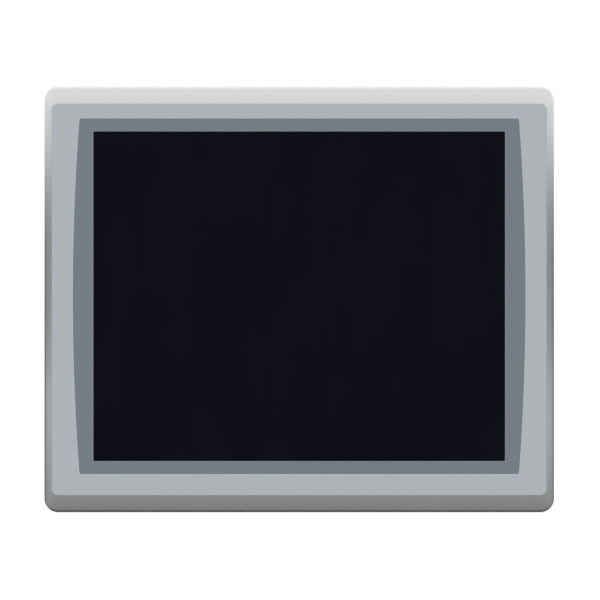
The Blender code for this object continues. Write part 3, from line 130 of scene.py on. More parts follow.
class Finish:
    # one material, built node by node
    def __init__(self, name, colour, rough, metal=0.0):
        self.material = bpy.data.materials.new(name)
        self.material.use_nodes = True
        self.tree = self.material.node_tree
        self.shader = self.tree.nodes["Principled BSDF"]
        self.colour = (*colour, 1.0)
        self.rough = rough
        self.fix("Metallic", metal)
        self.fix("Base Color", self.colour)
        self.fix("Roughness", rough)

    def fix(self, socket, value):
        self.shader.inputs[socket].default_value = value

    def feed(self, socket, wire):
        self.tree.links.new(wire.socket, self.shader.inputs[socket])

    def node(self, kind, settings=None, sockets=None, output=0):
        made = self.tree.nodes.new(kind)
        for key, value in (settings or {}).items():
            if key == "stops":
                for index, (place, shade) in enumerate(value):
                    ramp = made.color_ramp.elements
                    stop = ramp[index] if index < len(ramp) else ramp.new(place)
                    stop.position = place
                    stop.color = (shade, shade, shade, 1.0)
            else:
                setattr(made, key, value)
        for key, value in (sockets or {}).items():
            if isinstance(value, Wire):
                self.tree.links.new(value.socket, made.inputs[key])
            else:
                made.inputs[key].default_value = value
        return Wire(self, made.outputs[output])

    def place(self, stretch=(1.0, 1.0, 1.0)):
        spot = self.node("ShaderNodeTexCoord", output="Object")
        return self.node("ShaderNodeMapping", {"vector_type": "POINT"}, {"Vector": spot, "Scale": stretch})

    def grain(self, size, detail=2.0, stretch=(1.0, 1.0, 1.0)):
        return self.node("ShaderNodeTexNoise", {}, {"Vector": self.place(stretch), "Scale": 1.0 / size,
                                                    "Detail": detail, "Roughness": 0.55})

    def cells(self, size, output=0):
        return self.node("ShaderNodeTexVoronoi", {}, {"Vector": self.place(), "Scale": 1.0 / size}, output)

    def cellTone(self, size):
        # each cell with a level of its own, from 0 to 1
        return self.node("ShaderNodeSeparateColor", {}, {"Color": self.cells(size, "Color")})

    def between(self, wire, low, high, start=0.0, end=1.0):
        return self.node("ShaderNodeMapRange", {"clamp": True},
                         {"Value": wire, "From Min": low, "From Max": high, "To Min": start, "To Max": end})

    def axes(self, kind="ShaderNodeTexCoord", output="Object"):
        # the place on the piece along X, Y and Z
        split = self.node("ShaderNodeSeparateXYZ", {}, {"Vector": self.node(kind, output=output)})
        return [Wire(self, socket) for socket in split.socket.node.outputs]

    def facing(self):
        # how far the surface looks along X, Y and Z
        return self.axes("ShaderNodeNewGeometry", "Normal")

    def reach(self, wire):
        # a distance without its sign
        return self.node("ShaderNodeMath", {"operation": "ABSOLUTE"}, {0: wire})

    def wave(self, turn):
        return self.node("ShaderNodeMath", {"operation": "SINE"}, {0: turn})

    def outside(self, across, up, halfX, halfZ):
        # how far a place lies outside a rectangle, from its middle and its half sizes
        return self.node("ShaderNodeMath", {"operation": "MAXIMUM"},
                         {0: self.reach(across) - halfX, 1: self.reach(up) - halfZ})

    def tint(self, amount, first, second):
        return self.node("ShaderNodeMix", {"data_type": "RGBA"}, {0: amount, 6: first, 7: second}, output=2)

    def shade(self, amount, low, high):
        # the finish's colour made darker and lighter by a wire that runs from 0 to 1
        dark, light = (tuple(c * share for c in self.colour[:3]) + (1.0,) for share in (low, high))
        return self.tint(amount, dark, light)

    def relief(self, height, depth, strength=1.0):
        self.feed("Normal", self.node("ShaderNodeBump", {}, {"Height": height, "Distance": depth,
                                                             "Strength": strength}))
        return self


# finishes

def silverPaint():
    look = {"colour": (0.515, 0.518, 0.52), "rough": 0.34, "metal": 0.9, "flake": 0.16 * mm,
            "cloud": 60 * mm, "peel": 1.4 * mm, "peelDepth": 0.02 * mm}
    paint = Finish("silver paint", look["colour"], look["rough"], look["metal"])
    cloud = paint.grain(look["cloud"], 3.0)
    paint.feed("Base Color", paint.shade(paint.cellTone(look["flake"]) * 0.7 + cloud * 0.3, 0.93, 1.07))
    paint.feed("Roughness", paint.between(cloud, 0.3, 0.7, look["rough"] - 0.02, look["rough"] + 0.03))
    paint.relief(paint.grain(look["peel"], 1.0), look["peelDepth"], 0.25)
    return paint


def filmFinish(name, look):
    # printed polyester: a fine matt tooth, and print that is not quite even
    film = Finish(name, look["colour"], look["rough"])
    shared = {"tooth": 0.35 * mm, "toothDepth": 0.012 * mm, "cloud": 80 * mm}
    tooth = film.grain(shared["tooth"], 1.0)
    cloud = film.grain(shared["cloud"], 3.0)
    base = film.shade(tooth * 0.5 + cloud * 0.5, 0.975, 1.025)
    film.fix("Specular IOR Level", look["gloss"])
    film.feed("Roughness", film.between(cloud, 0.3, 0.7, look["rough"] - 0.03, look["rough"] + 0.03))
    film.relief(tooth, shared["toothDepth"], 0.35)
    return film, base


def lightFilm():
    look = {"colour": (0.357, 0.383, 0.408), "rough": 0.55, "gloss": 0.3,
            "cutWidth": 1.1 * mm, "cutColour": (0.375, 0.410, 0.450, 1.0)}
    film, base = filmFinish("light grey film", look)
    across, _, up = film.axes()
    share = (up - screenRise) / border["halfZ"]
    bow = (1 - share * share) * border["bulge"]
    beyond = film.outside(across, up - screenRise, bow + border["halfX"], border["halfZ"])
    # painted highlight: a lighter, bluer line on the film along its edge beside the border, standing in for
    # light caught by that edge
    line = film.between(beyond, look["cutWidth"], look["cutWidth"] * 0.6)
    film.feed("Base Color", film.tint(line * 0.8, base, look["cutColour"]))
    return film


def darkFilm():
    look = {"colour": (0.144, 0.166, 0.192), "rough": 0.5, "gloss": 0.25,
            "keyline": 1.0 * mm, "keylineColour": (0.183, 0.193, 0.228, 1.0)}
    film, base = filmFinish("dark grey film", look)
    across, _, up = film.axes()
    beyond = film.outside(across, up - screenRise, screen["width"] / 2, screen["height"] / 2)
    # a lighter line painted on the film along the window's edge
    line = film.between(beyond, look["keyline"], look["keyline"] * 0.8)
    film.feed("Base Color", film.tint(line, base, look["keylineColour"]))
    return film


def screenGlass():
    look = {"colour": (0.0008, 0.0008, 0.0050), "rough": 0.26, "gloss": 0.12, "etch": 0.22 * mm,
            "etchDepth": 0.004 * mm, "smear": 45 * mm, "cloud": 120 * mm}
    glass = Finish("black screen glass", look["colour"], look["rough"])
    wiped = glass.between(glass.grain(look["smear"], 4.0, (1.0, 1.0, 0.45)), 0.45, 0.75)
    glass.fix("Specular IOR Level", look["gloss"])
    glass.feed("Base Color", glass.shade(glass.grain(look["cloud"], 2.0), 0.9, 1.12))
    glass.feed("Roughness", glass.between(wiped, 0.0, 1.0, look["rough"], look["rough"] + 0.08))
    glass.relief(glass.grain(look["etch"], 1.0), look["etchDepth"], 0.3)
    return glass


def sheetMetal(name, look):
    # plated sheet: faint spangle, rolling marks along one way, finger marks, and dust on what looks up
    shared = {"rolling": 3 * mm, "cloud": 70 * mm, "depth": 0.01 * mm, "dustColour": (0.42, 0.40, 0.37, 1.0)}
    metal = Finish(name, look["colour"], look["rough"], look["metal"])
    spangle = metal.cellTone(look["spangle"])
    rolled = metal.grain(shared["rolling"], 2.0, look["rolled"])
    cloud = metal.grain(shared["cloud"], 4.0)
    mix = spangle * look["spangleShare"] + rolled * 0.3 + cloud * (0.7 - look["spangleShare"])
    base = metal.shade(mix, 0.86, 1.12)
    dust = metal.between(metal.facing()[2], 0.5, 1.0) * metal.between(cloud, 0.35, 0.8, 0.0, look["dust"])
    metal.feed("Base Color", metal.tint(dust, base, shared["dustColour"]))
    metal.feed("Metallic", metal.between(dust, 0.0, 1.0, look["metal"], 0.0))
    metal.feed("Roughness", metal.between(mix, 0.3, 0.7, look["rough"] - 0.06, look["rough"] + 0.08))
    metal.relief(rolled * 0.6 + spangle * 0.4, shared["depth"], 0.3)
    return metal


def turnedSteel(name, colour, rough):
    # bright fasteners: fine marks and a little stain
    look = {"marks": 0.25 * mm, "marksDepth": 0.01 * mm, "stain": 4 * mm}
    steel = Finish(name, colour, rough, 1.0)
    marks = steel.grain(look["marks"], 2.0)
    stain = steel.grain(look["stain"], 3.0)
    steel.feed("Base Color", steel.shade(stain, 0.8, 1.1))
    steel.feed("Roughness", steel.between(stain * 0.6 + marks * 0.4, 0.3, 0.7, rough - 0.06, rough + 0.12))
    steel.relief(marks, look["marksDepth"], 0.3)
    return steel


def moulded(name, colour, rough, grainSize=0.5 * mm, depth=0.02 * mm, gloss=0.4):
    # moulded plastic or rubber: eroded tool texture, faint flow clouds, scuffs that polish it
    look = {"flow": 14 * mm, "scuff": 5 * mm}
    stuff = Finish(name, colour, rough)
    tooth = stuff.grain(grainSize, 2.0)
    flow = stuff.grain(look["flow"], 3.0)
    scuff = stuff.between(stuff.grain(look["scuff"], 4.0, (1.0, 0.3, 1.0)), 0.62, 0.72)
    stuff.fix("Specular IOR Level", gloss)
    stuff.feed("Base Color", stuff.shade(flow * 0.6 + tooth * 0.2 + scuff * 0.2, 0.88, 1.16))
    stuff.feed("Roughness", stuff.between(flow - scuff * 0.5, 0.0, 0.8, rough - 0.08, rough + 0.06))
    stuff.relief(tooth, depth, 0.5)
    return stuff


def circuitBoard(name, colour):
    # solder mask over fine tracks, with plated pads
    look = {"rough": 0.38, "track": 1.3 * mm, "bend": 9 * mm, "area": 11 * mm, "pad": 3.2 * mm,
            "padColour": (0.55, 0.42, 0.20, 1.0), "copperDepth": 0.03 * mm}
    board = Finish(name, colour, look["rough"])
    across, _, up = board.axes()
    warp = board.grain(look["bend"], 2.0)
    runs = []
    for axis in (across, up):
        runs.append(board.between(board.wave(axis * (2 * math.pi / look["track"]) + warp * 9.0), 0.2, 0.5))
    area = board.between(board.cells(look["area"]), 0.3, 0.35)
    tracks = runs[0] * area + runs[1] * (1 - area)
    pads = board.between(board.cells(look["pad"]), 0.16, 0.12)
    base = board.shade(tracks, 0.75, 1.5)
    board.feed("Base Color", board.tint(pads * 0.8, base, look["padColour"]))
    board.feed("Metallic", pads * 0.8)
    board.relief(tracks * 0.5 + pads, look["copperDepth"], 0.5)
    return board


print("finishes ready")


# mesh helpers

weld = 0.002 * mm
alongY = Matrix.Rotation(-math.pi / 2, 4, "X")


def linked(name, data):
    made = bpy.data.objects.new(name, data)
    bpy.context.scene.collection.objects.link(made)
    return made


def smoothed(mesh, sharpAngle=35.0):
    mesh.shade_smooth()
    mesh.set_sharp_from_angle(angle=math.radians(sharpAngle))


def asObject(name, shape, finish, sharpAngle=35.0):
    mesh = bpy.data.meshes.new(name)
    shape.to_mesh(mesh)
    shape.free()
    smoothed(mesh, sharpAngle)
    mesh.materials.append(finish.material)
    return linked(name, mesh)


def settled(made):
    # the object with its modifiers worked into its mesh
    bpy.context.view_layer.update()
    graph = bpy.context.evaluated_depsgraph_get()
    mesh = bpy.data.meshes.new_from_object(made.evaluated_get(graph), preserve_all_data_layers=True,
                                           depsgraph=graph)
    if made.type == "MESH":
        made.modifiers.clear()
        made.data = mesh
        return made
    name = made.name
    bpy.data.objects.remove(made, do_unlink=True)
    return linked(name, mesh)


def evened(made):
    # big flat faces keep flat shading beside their rounded edges
    level = made.modifiers.new("level", "WEIGHTED_NORMAL")
    level.keep_sharp = True
    level.weight = 80
    return settled(made)


def bevelled(made, width, segments=2, angle=32.0, clamp=False):
    edge = made.modifiers.new("edge", "BEVEL")
    edge.width = width
    edge.segments = segments
    edge.limit_method = "ANGLE"
    edge.angle_limit = math.radians(angle)
    edge.use_clamp_overlap = clamp
    return made


def fit(made, node):
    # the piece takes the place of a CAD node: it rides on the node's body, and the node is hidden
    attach(made, frame["nodes"][node]["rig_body"])
    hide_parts(node)
    return made


def copied(node):
    shape = bmesh.new()
    shape.from_mesh(frame["nodes"][node].data)
    bmesh.ops.remove_doubles(shape, verts=shape.verts, dist=weld)
    return shape


def softened(node, finish, width, segments=2):
    # a copy of a CAD node with its edges eased
    made = asObject(f"{node}_soft", copied(node), finish)
    return fit(evened(bevelled(made, width, segments)), node)


def skinned(shape, loops, ends=()):
    # each loop of points joined to the next, then the end loops closed
    count = len(loops[0])
    for first, second in zip(loops, loops[1:]):
        for index in range(count):
            after = (index + 1) % count
            shape.faces.new((first[index], first[after], second[after], second[index]))
    for end in ends:
        shape.faces.new(loops[end])
    return shape


def cornerLoop(ring, steps):
    # points round a rounded rectangle: half width, half height, corner radius, y and rise
    halfX, halfZ, radius, y, rise = ring
    radius = max(radius, 0.02 * mm)
    points = []
    for corner, (sideX, sideZ) in enumerate(((1, 1), (-1, 1), (-1, -1), (1, -1))):
        for step in range(steps + 1):
            angle = math.pi / 2 * (corner + step / steps)
            points.append(Vector((sideX * (halfX - radius) + radius * math.cos(angle), y,
                                  rise + sideZ * (halfZ - radius) + radius * math.sin(angle))))
    return points


def loopedFrame(name, rings, finish, steps=12):
    # a closed frame: each ring joined to the next, and the last to the first
    shape = bmesh.new()
    loops = [[shape.verts.new(point) for point in cornerLoop(ring, steps)] for ring in rings]
    skinned(shape, loops + loops[:1])
    bmesh.ops.recalc_face_normals(shape, faces=shape.faces)
    return asObject(name, shape, finish, 30.0)


def filledCurve(name, outlines, thickness, edge, finish):
    # flat outlines in X and Z, the first the outside and the rest holes, with eased edges
    curve = bpy.data.curves.new(name, "CURVE")
    curve.dimensions = "2D"
    curve.fill_mode = "BOTH"
    curve.extrude = thickness / 2 - edge
    curve.bevel_depth = edge
    curve.bevel_resolution = 2
    curve.offset = -edge
    for outline in outlines:
        line = curve.splines.new("POLY")
        line.points.add(len(outline) - 1)
        for point, (x, z) in zip(line.points, outline):
            point.co = (x, z, 0.0, 1.0)
        line.use_cyclic_u = True
    made = settled(linked(name, curve))
    shape = bmesh.new()
    shape.from_mesh(made.data)
    bmesh.ops.remove_doubles(shape, verts=shape.verts, dist=weld)
    bmesh.ops.recalc_face_normals(shape, faces=shape.faces)
    shape.to_mesh(made.data)
    shape.free()
    smoothed(made.data)
    made.data.materials.clear()
    made.data.materials.append(finish.material)
    return made


def standUp(made, y):
    # a flat piece turned to face along Y
    made.data.transform(Matrix.Translation((0.0, y, 0.0)) @ Matrix.Rotation(math.pi / 2, 4, "X"))
    return made


def latheShape(shape, profile, sides=48):
    # adds a turned solid from its (radius, height) points to a shape, its axis along Z
    loops = []
    for radius, height in profile:
        if radius == 0.0:
            loops.append([shape.verts.new((0.0, 0.0, height))])
            continue
        loops.append([shape.verts.new((radius * math.cos(2 * math.pi * i / sides),
                                       radius * math.sin(2 * math.pi * i / sides), height))
                      for i in range(sides)])
    for first, second in zip(loops, loops[1:]):
        for i in range(sides):
            after = (i + 1) % sides
            if len(first) == 1:
                shape.faces.new((first[0], second[i], second[after]))
            elif len(second) == 1:
                shape.faces.new((first[i], second[0], first[after]))
            else:
                shape.faces.new((first[i], second[i], second[after], first[after]))
    return shape


silver = silverPaint()
lightGrey = lightFilm()
darkGrey = darkFilm()
blackGlass = screenGlass()


# front

def stripCurve(width, bezel):
    # a strip's section from its side wall to the film: a rounded rim, then a slightly crowned slope
    fall, crown, radius = bezel["fall"], bezel["crown"], bezel["rim"]
    front = bezelBox[0].y
    rim = front + fall
    tilt = math.atan((1 + crown) * fall / width)
    centre = rim - math.tan(tilt) * radius + radius / math.cos(tilt)
    section = []
    for step in range(bezel["rimSteps"] + 1):
        angle = math.pi / 2 + (tilt - math.pi / 2) * step / bezel["rimSteps"]
        section.append((radius * (1 - math.sin(angle)), centre - radius * math.cos(angle)))
    start = section[-1][0]
    for step in range(1, bezel["slopeSteps"] + 1):
        inset = start + (width - start) * step / bezel["slopeSteps"]
        left = (width - inset) / width
        section.append((inset, front + fall * ((1 - crown) * left + crown * left * left)))
    return section


def insetAt(section, y):
    for (inset, here), (further, after) in zip(section, section[1:]):
        if after <= y <= here:
            return inset + (further - inset) * (here - y) / max(here - after, 1e-9)
    return section[0][0] if y > section[0][1] else section[-1][0]


def makeBezel():
    bezel = {"corner": 12.4 * mm, "fall": 4.2 * mm, "crown": 0.25, "rim": 3.2 * mm, "land": 0.1 * mm,
             "edge": 0.05 * mm, "rimSteps": 8, "slopeSteps": 10, "pocket": 0.8 * mm, "ledge": 2.9 * mm,
             "glassGap": 0.3 * mm, "grooveGap": 0.3 * mm, "groove": 1.3 * mm, "finest": 0.02 * mm}
    low, high = bezelBox
    halfX, halfZ = high.x, high.z
    front, back = low.y, high.y
    sideWidth = halfX - labelBox[1].x - bezel["land"]
    topWidth = halfZ - labelBox[1].z - bezel["land"]
    side = stripCurve(sideWidth, bezel)
    top = stripCurve(topWidth, bezel)
    heights = sorted({y for _, y in top} | {y for _, y in side}, reverse=True)
    heights = [y for y, after in zip(heights, heights[1:]) if y - after > bezel["finest"]] + heights[-1:]
    heights[-1] = front
    edge = bezel["edge"]
    rings = [(halfX - edge, halfZ - edge, bezel["corner"] - edge, back, 0.0),
             (halfX, halfZ, bezel["corner"], back - edge, 0.0)]
    for y in heights:
        insetX, insetZ = insetAt(side, y), insetAt(top, y)
        rings.append((halfX - insetX, halfZ - insetZ, bezel["corner"] - insetX, y, 0.0))
    landX, landZ = labelBox[1].x + edge, labelBox[1].z + edge
    landCorner = labelCorner + edge
    rings += [(landX + edge, landZ + edge, landCorner + edge, front, 0.0),
              (landX, landZ, landCorner, front + edge, 0.0),
              (landX, landZ, landCorner, front + bezel["pocket"], 0.0)]
    glassX = glassBox[1].x + bezel["glassGap"]
    glassZ = (glassBox[1].z - glassBox[0].z) / 2 + bezel["glassGap"]
    ledge = back - bezel["ledge"]
    corner = screen["corner"]
    screenX, screenZ = screen["width"] / 2, screen["height"] / 2
    rings += [(glassX, glassZ, corner, front + bezel["pocket"], screenRise),
              (glassX, glassZ, corner, ledge, screenRise),
              (screenX, screenZ, corner, ledge, screenRise),
              (screenX, screenZ, corner, back, screenRise)]
    grooveX, grooveZ = gasketBox[1].x + bezel["grooveGap"], gasketBox[1].z + bezel["grooveGap"]
    inner = gasketRing["width"] + 2 * bezel["grooveGap"]
    radius = gasketRing["corner"] + bezel["grooveGap"]
    floor = back - bezel["groove"]
    rings += [(grooveX - inner, grooveZ - inner, radius - inner, back, 0.0),
              (grooveX - inner, grooveZ - inner, radius - inner, floor, 0.0),
              (grooveX, grooveZ, radius, floor, 0.0), (grooveX, grooveZ, radius, back, 0.0)]
    made = loopedFrame("bezel_casting", rings, silver)
    return fit(evened(made), "front_bezel")


def bulgedOutline(grow):
    # the border's edge: straight above and below, an arc at each side
    halfX, halfZ, corner = border["halfX"] + grow, border["halfZ"] + grow, border["corner"]
    points = []

    def turnCorner(side, end, first, steps):
        for step in steps:
            angle = first + math.pi / 2 * step / border["cornerSteps"]
            points.append((side * (halfX - corner + corner * math.cos(angle)),
                           screenRise + side * (end * (halfZ - corner) + corner * math.sin(angle))))

    for side in (1, -1):
        turnCorner(side, -1, -math.pi / 2, range(border["cornerSteps"]))
        for step in range(border["steps"] + 1):
            share = (-1 + 2 * step / border["steps"]) * (halfZ - corner) / halfZ
            points.append((side * (halfX + border["bulge"] * (1 - share * share)),
                           screenRise + side * share * halfZ))
        turnCorner(side, 1, 0.0, range(1, border["cornerSteps"]))
    return points


def boxOutline(halfX, halfZ, radius, rise=0.0):
    return [(point.x, point.z) for point in cornerLoop((halfX, halfZ, radius, 0.0, rise), 12)]


def makeFilms():
    films = {"gap": 0.04 * mm, "edge": 0.08 * mm, "glue": 0.02 * mm}
    thickness = glassBox[0].y - labelBox[0].y - films["glue"]
    middle = labelBox[0].y + thickness / 2
    outer = boxOutline(labelBox[1].x, labelBox[1].z, labelCorner)
    label = filledCurve("label_film", [outer, bulgedOutline(films["gap"])], thickness, films["edge"],
                        lightGrey)
    fit(evened(standUp(label, middle)), "front_label")
    window = boxOutline(screen["width"] / 2, screen["height"] / 2, screen["corner"], screenRise)
    frameFilm = filledCurve("border_film", [bulgedOutline(0.0), window], thickness, films["edge"], darkGrey)
    fit(evened(standUp(frameFilm, middle)), "window_border")


makeBezel()
makeFilms()
softened("touch_glass", blackGlass, 0.3 * mm, 3)
print("front ready")


# seals, housing and cover

foam = moulded("black foam", (0.020, 0.020, 0.020), 0.92, 0.8 * mm, 0.12 * mm, 0.2)
rubber = moulded("black sealing rubber", (0.028, 0.028, 0.030), 0.72, 0.6 * mm, 0.03 * mm, 0.3)
sheet = sheetMetal("plated sheet", {
    "colour": (0.50, 0.51, 0.52), "rough": 0.42, "metal": 0.95, "dust": 0.3,
    "spangle": 4.5 * mm, "spangleShare": 0.22, "rolled": (0.08, 1.0, 1.0)})
stamped = sheetMetal("stamped port steel", {
    "colour": (0.62, 0.62, 0.61), "rough": 0.30, "metal": 1.0, "dust": 0.1,
    "spangle": 0.8 * mm, "spangleShare": 0.1, "rolled": (1.0, 1.0, 0.1)})
tray = sheetMetal("tinned tray steel", {
    "colour": (0.58, 0.58, 0.57), "rough": 0.38, "metal": 1.0, "dust": 0.1,
    "spangle": 3 * mm, "spangleShare": 0.2, "rolled": (0.06, 1.0, 1.0)})
extruded = sheetMetal("bare extruded aluminium", {
    "colour": (0.63, 0.64, 0.65), "rough": 0.36, "metal": 1.0, "dust": 0.25,
    "spangle": 0.4 * mm, "spangleShare": 0.1, "rolled": (1.0, 1.0, 0.03)})
bright = turnedSteel("bright plated steel", (0.62, 0.62, 0.63), 0.28)
gold = turnedSteel("gold contacts", (0.80, 0.58, 0.24), 0.25)
blackPlastic = moulded("black plastic", (0.022, 0.022, 0.023), 0.48)
greyPlastic = moulded("grey lever plastic", (0.165, 0.172, 0.180), 0.50, 0.45 * mm, 0.03 * mm)
greenPlastic = moulded("green terminal plastic", (0.040, 0.270, 0.105), 0.42)
bluePlastic = moulded("blue card plastic", (0.025, 0.070, 0.270), 0.40)
ivoryPlastic = moulded("ivory connector plastic", (0.62, 0.58, 0.48), 0.45)
blackSheath = moulded("black cable sheath", (0.030, 0.030, 0.031), 0.55, 0.3 * mm, 0.01 * mm)
redSheath = moulded("red cable sheath", (0.380, 0.028, 0.020), 0.50, 0.3 * mm, 0.01 * mm)
ferrite = moulded("grey ferrite", (0.055, 0.055, 0.058), 0.65, 0.2 * mm, 0.03 * mm)
greenBoard = circuitBoard("green circuit board", (0.016, 0.110, 0.052))
print("parts finishes ready")


def insideBox(point, low, high):
    return all(a <= value <= b for a, value, b in zip(low, point, high))


def paintInside(made, finish, low, high):
    # the faces whose middles lie in a box take another finish
    made.data.materials.append(finish.material)
    index = len(made.data.materials) - 1
    for face in made.data.polygons:
        if insideBox(face.center, low, high):
            face.material_index = index
    return made


def sheetPiece(node, flange):
    # folded sheet: a rounded bend all round its back, inside any side flanges, and eased edges elsewhere
    pan = {"corner": 3.2 * mm, "bend": 1.0 * mm, "edge": 0.18 * mm, "skin": 0.05 * mm, "wallTilt": 0.2}
    low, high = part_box(node)
    shape = copied(node)
    rim = []
    for line in shape.edges:
        if len(line.link_faces) == 2 and all(point.co.y > high.y - pan["skin"] for point in line.verts):
            middle = (line.verts[0].co + line.verts[1].co) / 2
            nearSide = min(middle.x - low.x - flange, high.x - flange - middle.x,
                           middle.z - low.z, high.z - middle.z)
            besideWall = min(abs(face.normal.y) for face in line.link_faces) < pan["wallTilt"]
            if nearSide < pan["corner"] and besideWall:
                rim.append(line)
    bmesh.ops.bevel(shape, geom=rim, offset=pan["bend"], segments=4, profile=0.5, affect="EDGES")
    made = asObject(f"{node}_folded", shape, sheet)
    return fit(evened(bevelled(made, pan["edge"])), node)


def makeGasket():
    low, high = gasketBox
    width, edge = gasketRing["width"], gasketRing["edge"]
    rings = []
    for insetBy, y in ((edge, low.y), (0.0, low.y + edge), (0.0, high.y - edge), (edge, high.y),
                       (width - edge, high.y), (width, high.y - edge), (width, low.y + edge),
                       (width - edge, low.y)):
        rings.append((high.x - insetBy, high.z - insetBy, gasketRing["corner"] - insetBy, y, 0.0))
    return fit(evened(loopedFrame("cabinet_gasket", rings, rubber)), "panel_gasket")


makeGasket()
sheetPiece("display_housing", 0.0)
sheetPiece("module_cover", 12.0 * mm)
print("housing ready")


# fasteners and levers

def stacked(shape, outlines):
    # outlines of one length at rising heights, joined up and closed at both ends
    loops = [[shape.verts.new((x, y, height)) for x, y in outline] for outline, height in outlines]
    skinned(shape, loops, (0, -1))
    bmesh.ops.recalc_face_normals(shape, faces=shape.faces)
    return shape


cutAbove = 0.5 * mm


def driverCross(radius, wide, deep, top):
    # the cutter for a cross recess, narrowing downwards
    topShare, bottomShare = 1.12, 0.6

    def plus(share):
        long, thick = radius * share, wide / 2 * share
        arm = ((long, -thick), (long, thick), (thick, thick))
        points = []
        for cosine, sine in ((1, 0), (0, 1), (-1, 0), (0, -1)):
            points += [(x * cosine - y * sine, x * sine + y * cosine) for x, y in arm]
        return points

    return stacked(bmesh.new(), [(plus(bottomShare), top - deep), (plus(topShare), top + cutAbove)])


def driverSlot(radius, wide, deep, top):
    shape = bmesh.new()
    bmesh.ops.create_cube(shape, size=1.0, matrix=Matrix.Translation((0, 0, top - deep / 2 + cutAbove))
                          @ Matrix.Diagonal((2.4 * radius, wide, deep + 2 * cutAbove, 1.0)))
    return shape


def carved(made, cutter):
    tool = asObject("cutter", cutter, bright)
    cut = made.modifiers.new("cut", "BOOLEAN")
    cut.object = tool
    cut.solver = "EXACT"
    settled(made)
    bpy.data.objects.remove(tool, do_unlink=True)
    smoothed(made.data)
    return made


def threadRings(shape, look, sides=24, steps=6):
    # a shank below zero whose threaded end is a true helix
    radius, length, pitch, threaded = look["shank"], look["length"], look["pitch"], look["threaded"]
    plain = length - threaded
    count = max(2, round(threaded / pitch * steps))
    loops = []
    for height in [0.0] + [-plain - threaded * i / count for i in range(count + 1)]:
        started = min(1.0, max(0.0, (-height - plain) / pitch))
        tip = min(1.0, max(0.25, (length + height) / pitch))
        loop = []
        for i in range(sides):
            phase = (height / pitch + i / sides) % 1.0
            out = radius - look["depth"] * started * abs(2 * phase - 1) - radius * 0.25 * (1 - tip)
            angle = 2 * math.pi * i / sides
            loop.append(shape.verts.new((out * math.cos(angle), out * math.sin(angle), height)))
        loops.append(loop)
    return skinned(shape, loops, (0, -1))


def screwObject(name, look, turn):
    # a pan-head screw along Z, its seat at zero
    head, height = look["head"], look["height"]
    form = {"domeSteps": 10, "sideShare": 0.34, "chamferShare": 0.12, "edge": 0.06 * mm}
    shape = bmesh.new()
    profile = [(0.0, height)]
    for step in range(1, form["domeSteps"]):
        angle = math.pi / 2 * step / form["domeSteps"]
        rise = form["sideShare"] + (1 - form["sideShare"]) * math.cos(angle) ** 0.7
        profile.append((head * math.sin(angle) ** 0.8, height * rise))
    chamfer = form["chamferShare"] * height
    profile += [(head, height * form["sideShare"]), (head, chamfer), (head - chamfer, 0.0), (0.0, 0.0)]
    latheShape(shape, profile)
    bmesh.ops.recalc_face_normals(shape, faces=shape.faces)
    made = asObject(name, shape, bright)
    cutter = driverSlot if look.get("slot") else driverCross
    carved(made, cutter(look["recess"], look["wide"], look["deep"], height))
    settled(bevelled(made, form["edge"], angle=40.0, clamp=True))
    shape = bmesh.new()
    shape.from_mesh(made.data)
    threadRings(shape, look)
    bmesh.ops.recalc_face_normals(shape, faces=shape.faces)
    shape.to_mesh(made.data)
    shape.free()
    made.data.transform(Matrix.Rotation(turn, 4, "Z"))
    smoothed(made.data, 38.0)
    return made


def driveIn(node, look, turn, ending):
    # a screw made to the length of its CAD node and set on its seat
    low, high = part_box(node)
    seat = high.y - look["height"]
    made = screwObject(f"{node}_{ending}", {**look, "length": seat - low.y}, math.radians(turn))
    made.data.transform(Matrix.Translation(((low.x + high.x) / 2, seat, (low.z + high.z) / 2)) @ alongY)
    return fit(made, node)


def makeScrews():
    housing = {"head": 4.0 * mm, "height": 2.4 * mm, "recess": 2.2 * mm, "wide": 0.95 * mm, "deep": 1.5 * mm,
               "shank": 2.0 * mm, "pitch": 0.7 * mm, "depth": 0.35 * mm, "threaded": 12.0 * mm}
    cover = {**housing, "head": 3.7 * mm, "recess": 1.9 * mm, "wide": 0.85 * mm, "deep": 1.3 * mm,
             "shank": 1.6 * mm, "pitch": 0.6 * mm, "depth": 0.3 * mm, "threaded": 5.0 * mm}
    ground = {**housing, "shank": 2.5 * mm, "threaded": 4.5 * mm}
    for kind, look, turnEach in (("housing_screw", housing, 37), ("cover_screw", cover, 53)):
        for i in range(1, 5):
            driveIn(f"{kind}_{i}", look, turnEach * i, "driven")
    driveIn("ground_screw", ground, 20, "driven")


def leverOutline(lever, insetBy):
    lean = math.acos((lever["hub"] - lever["tip"]) / lever["reach"])
    points = []
    for centre, radius, start, end in ((lever["reach"], lever["tip"], -lean, lean),
                                       (0.0, lever["hub"], lean, 2 * math.pi - lean)):
        for step in range(lever["steps"] + 1):
            angle = start + (end - start) * step / lever["steps"]
            away = radius - insetBy
            points.append((centre + away * math.cos(angle), away * math.sin(angle)))
    return points


def stadiumOutline(start, end, radius, steps):
    points = []
    for centre, first in ((end, -math.pi / 2), (start, math.pi / 2)):
        for step in range(steps + 1):
            angle = first + math.pi * step / steps
            points.append((centre + radius * math.cos(angle), radius * math.sin(angle)))
    return points


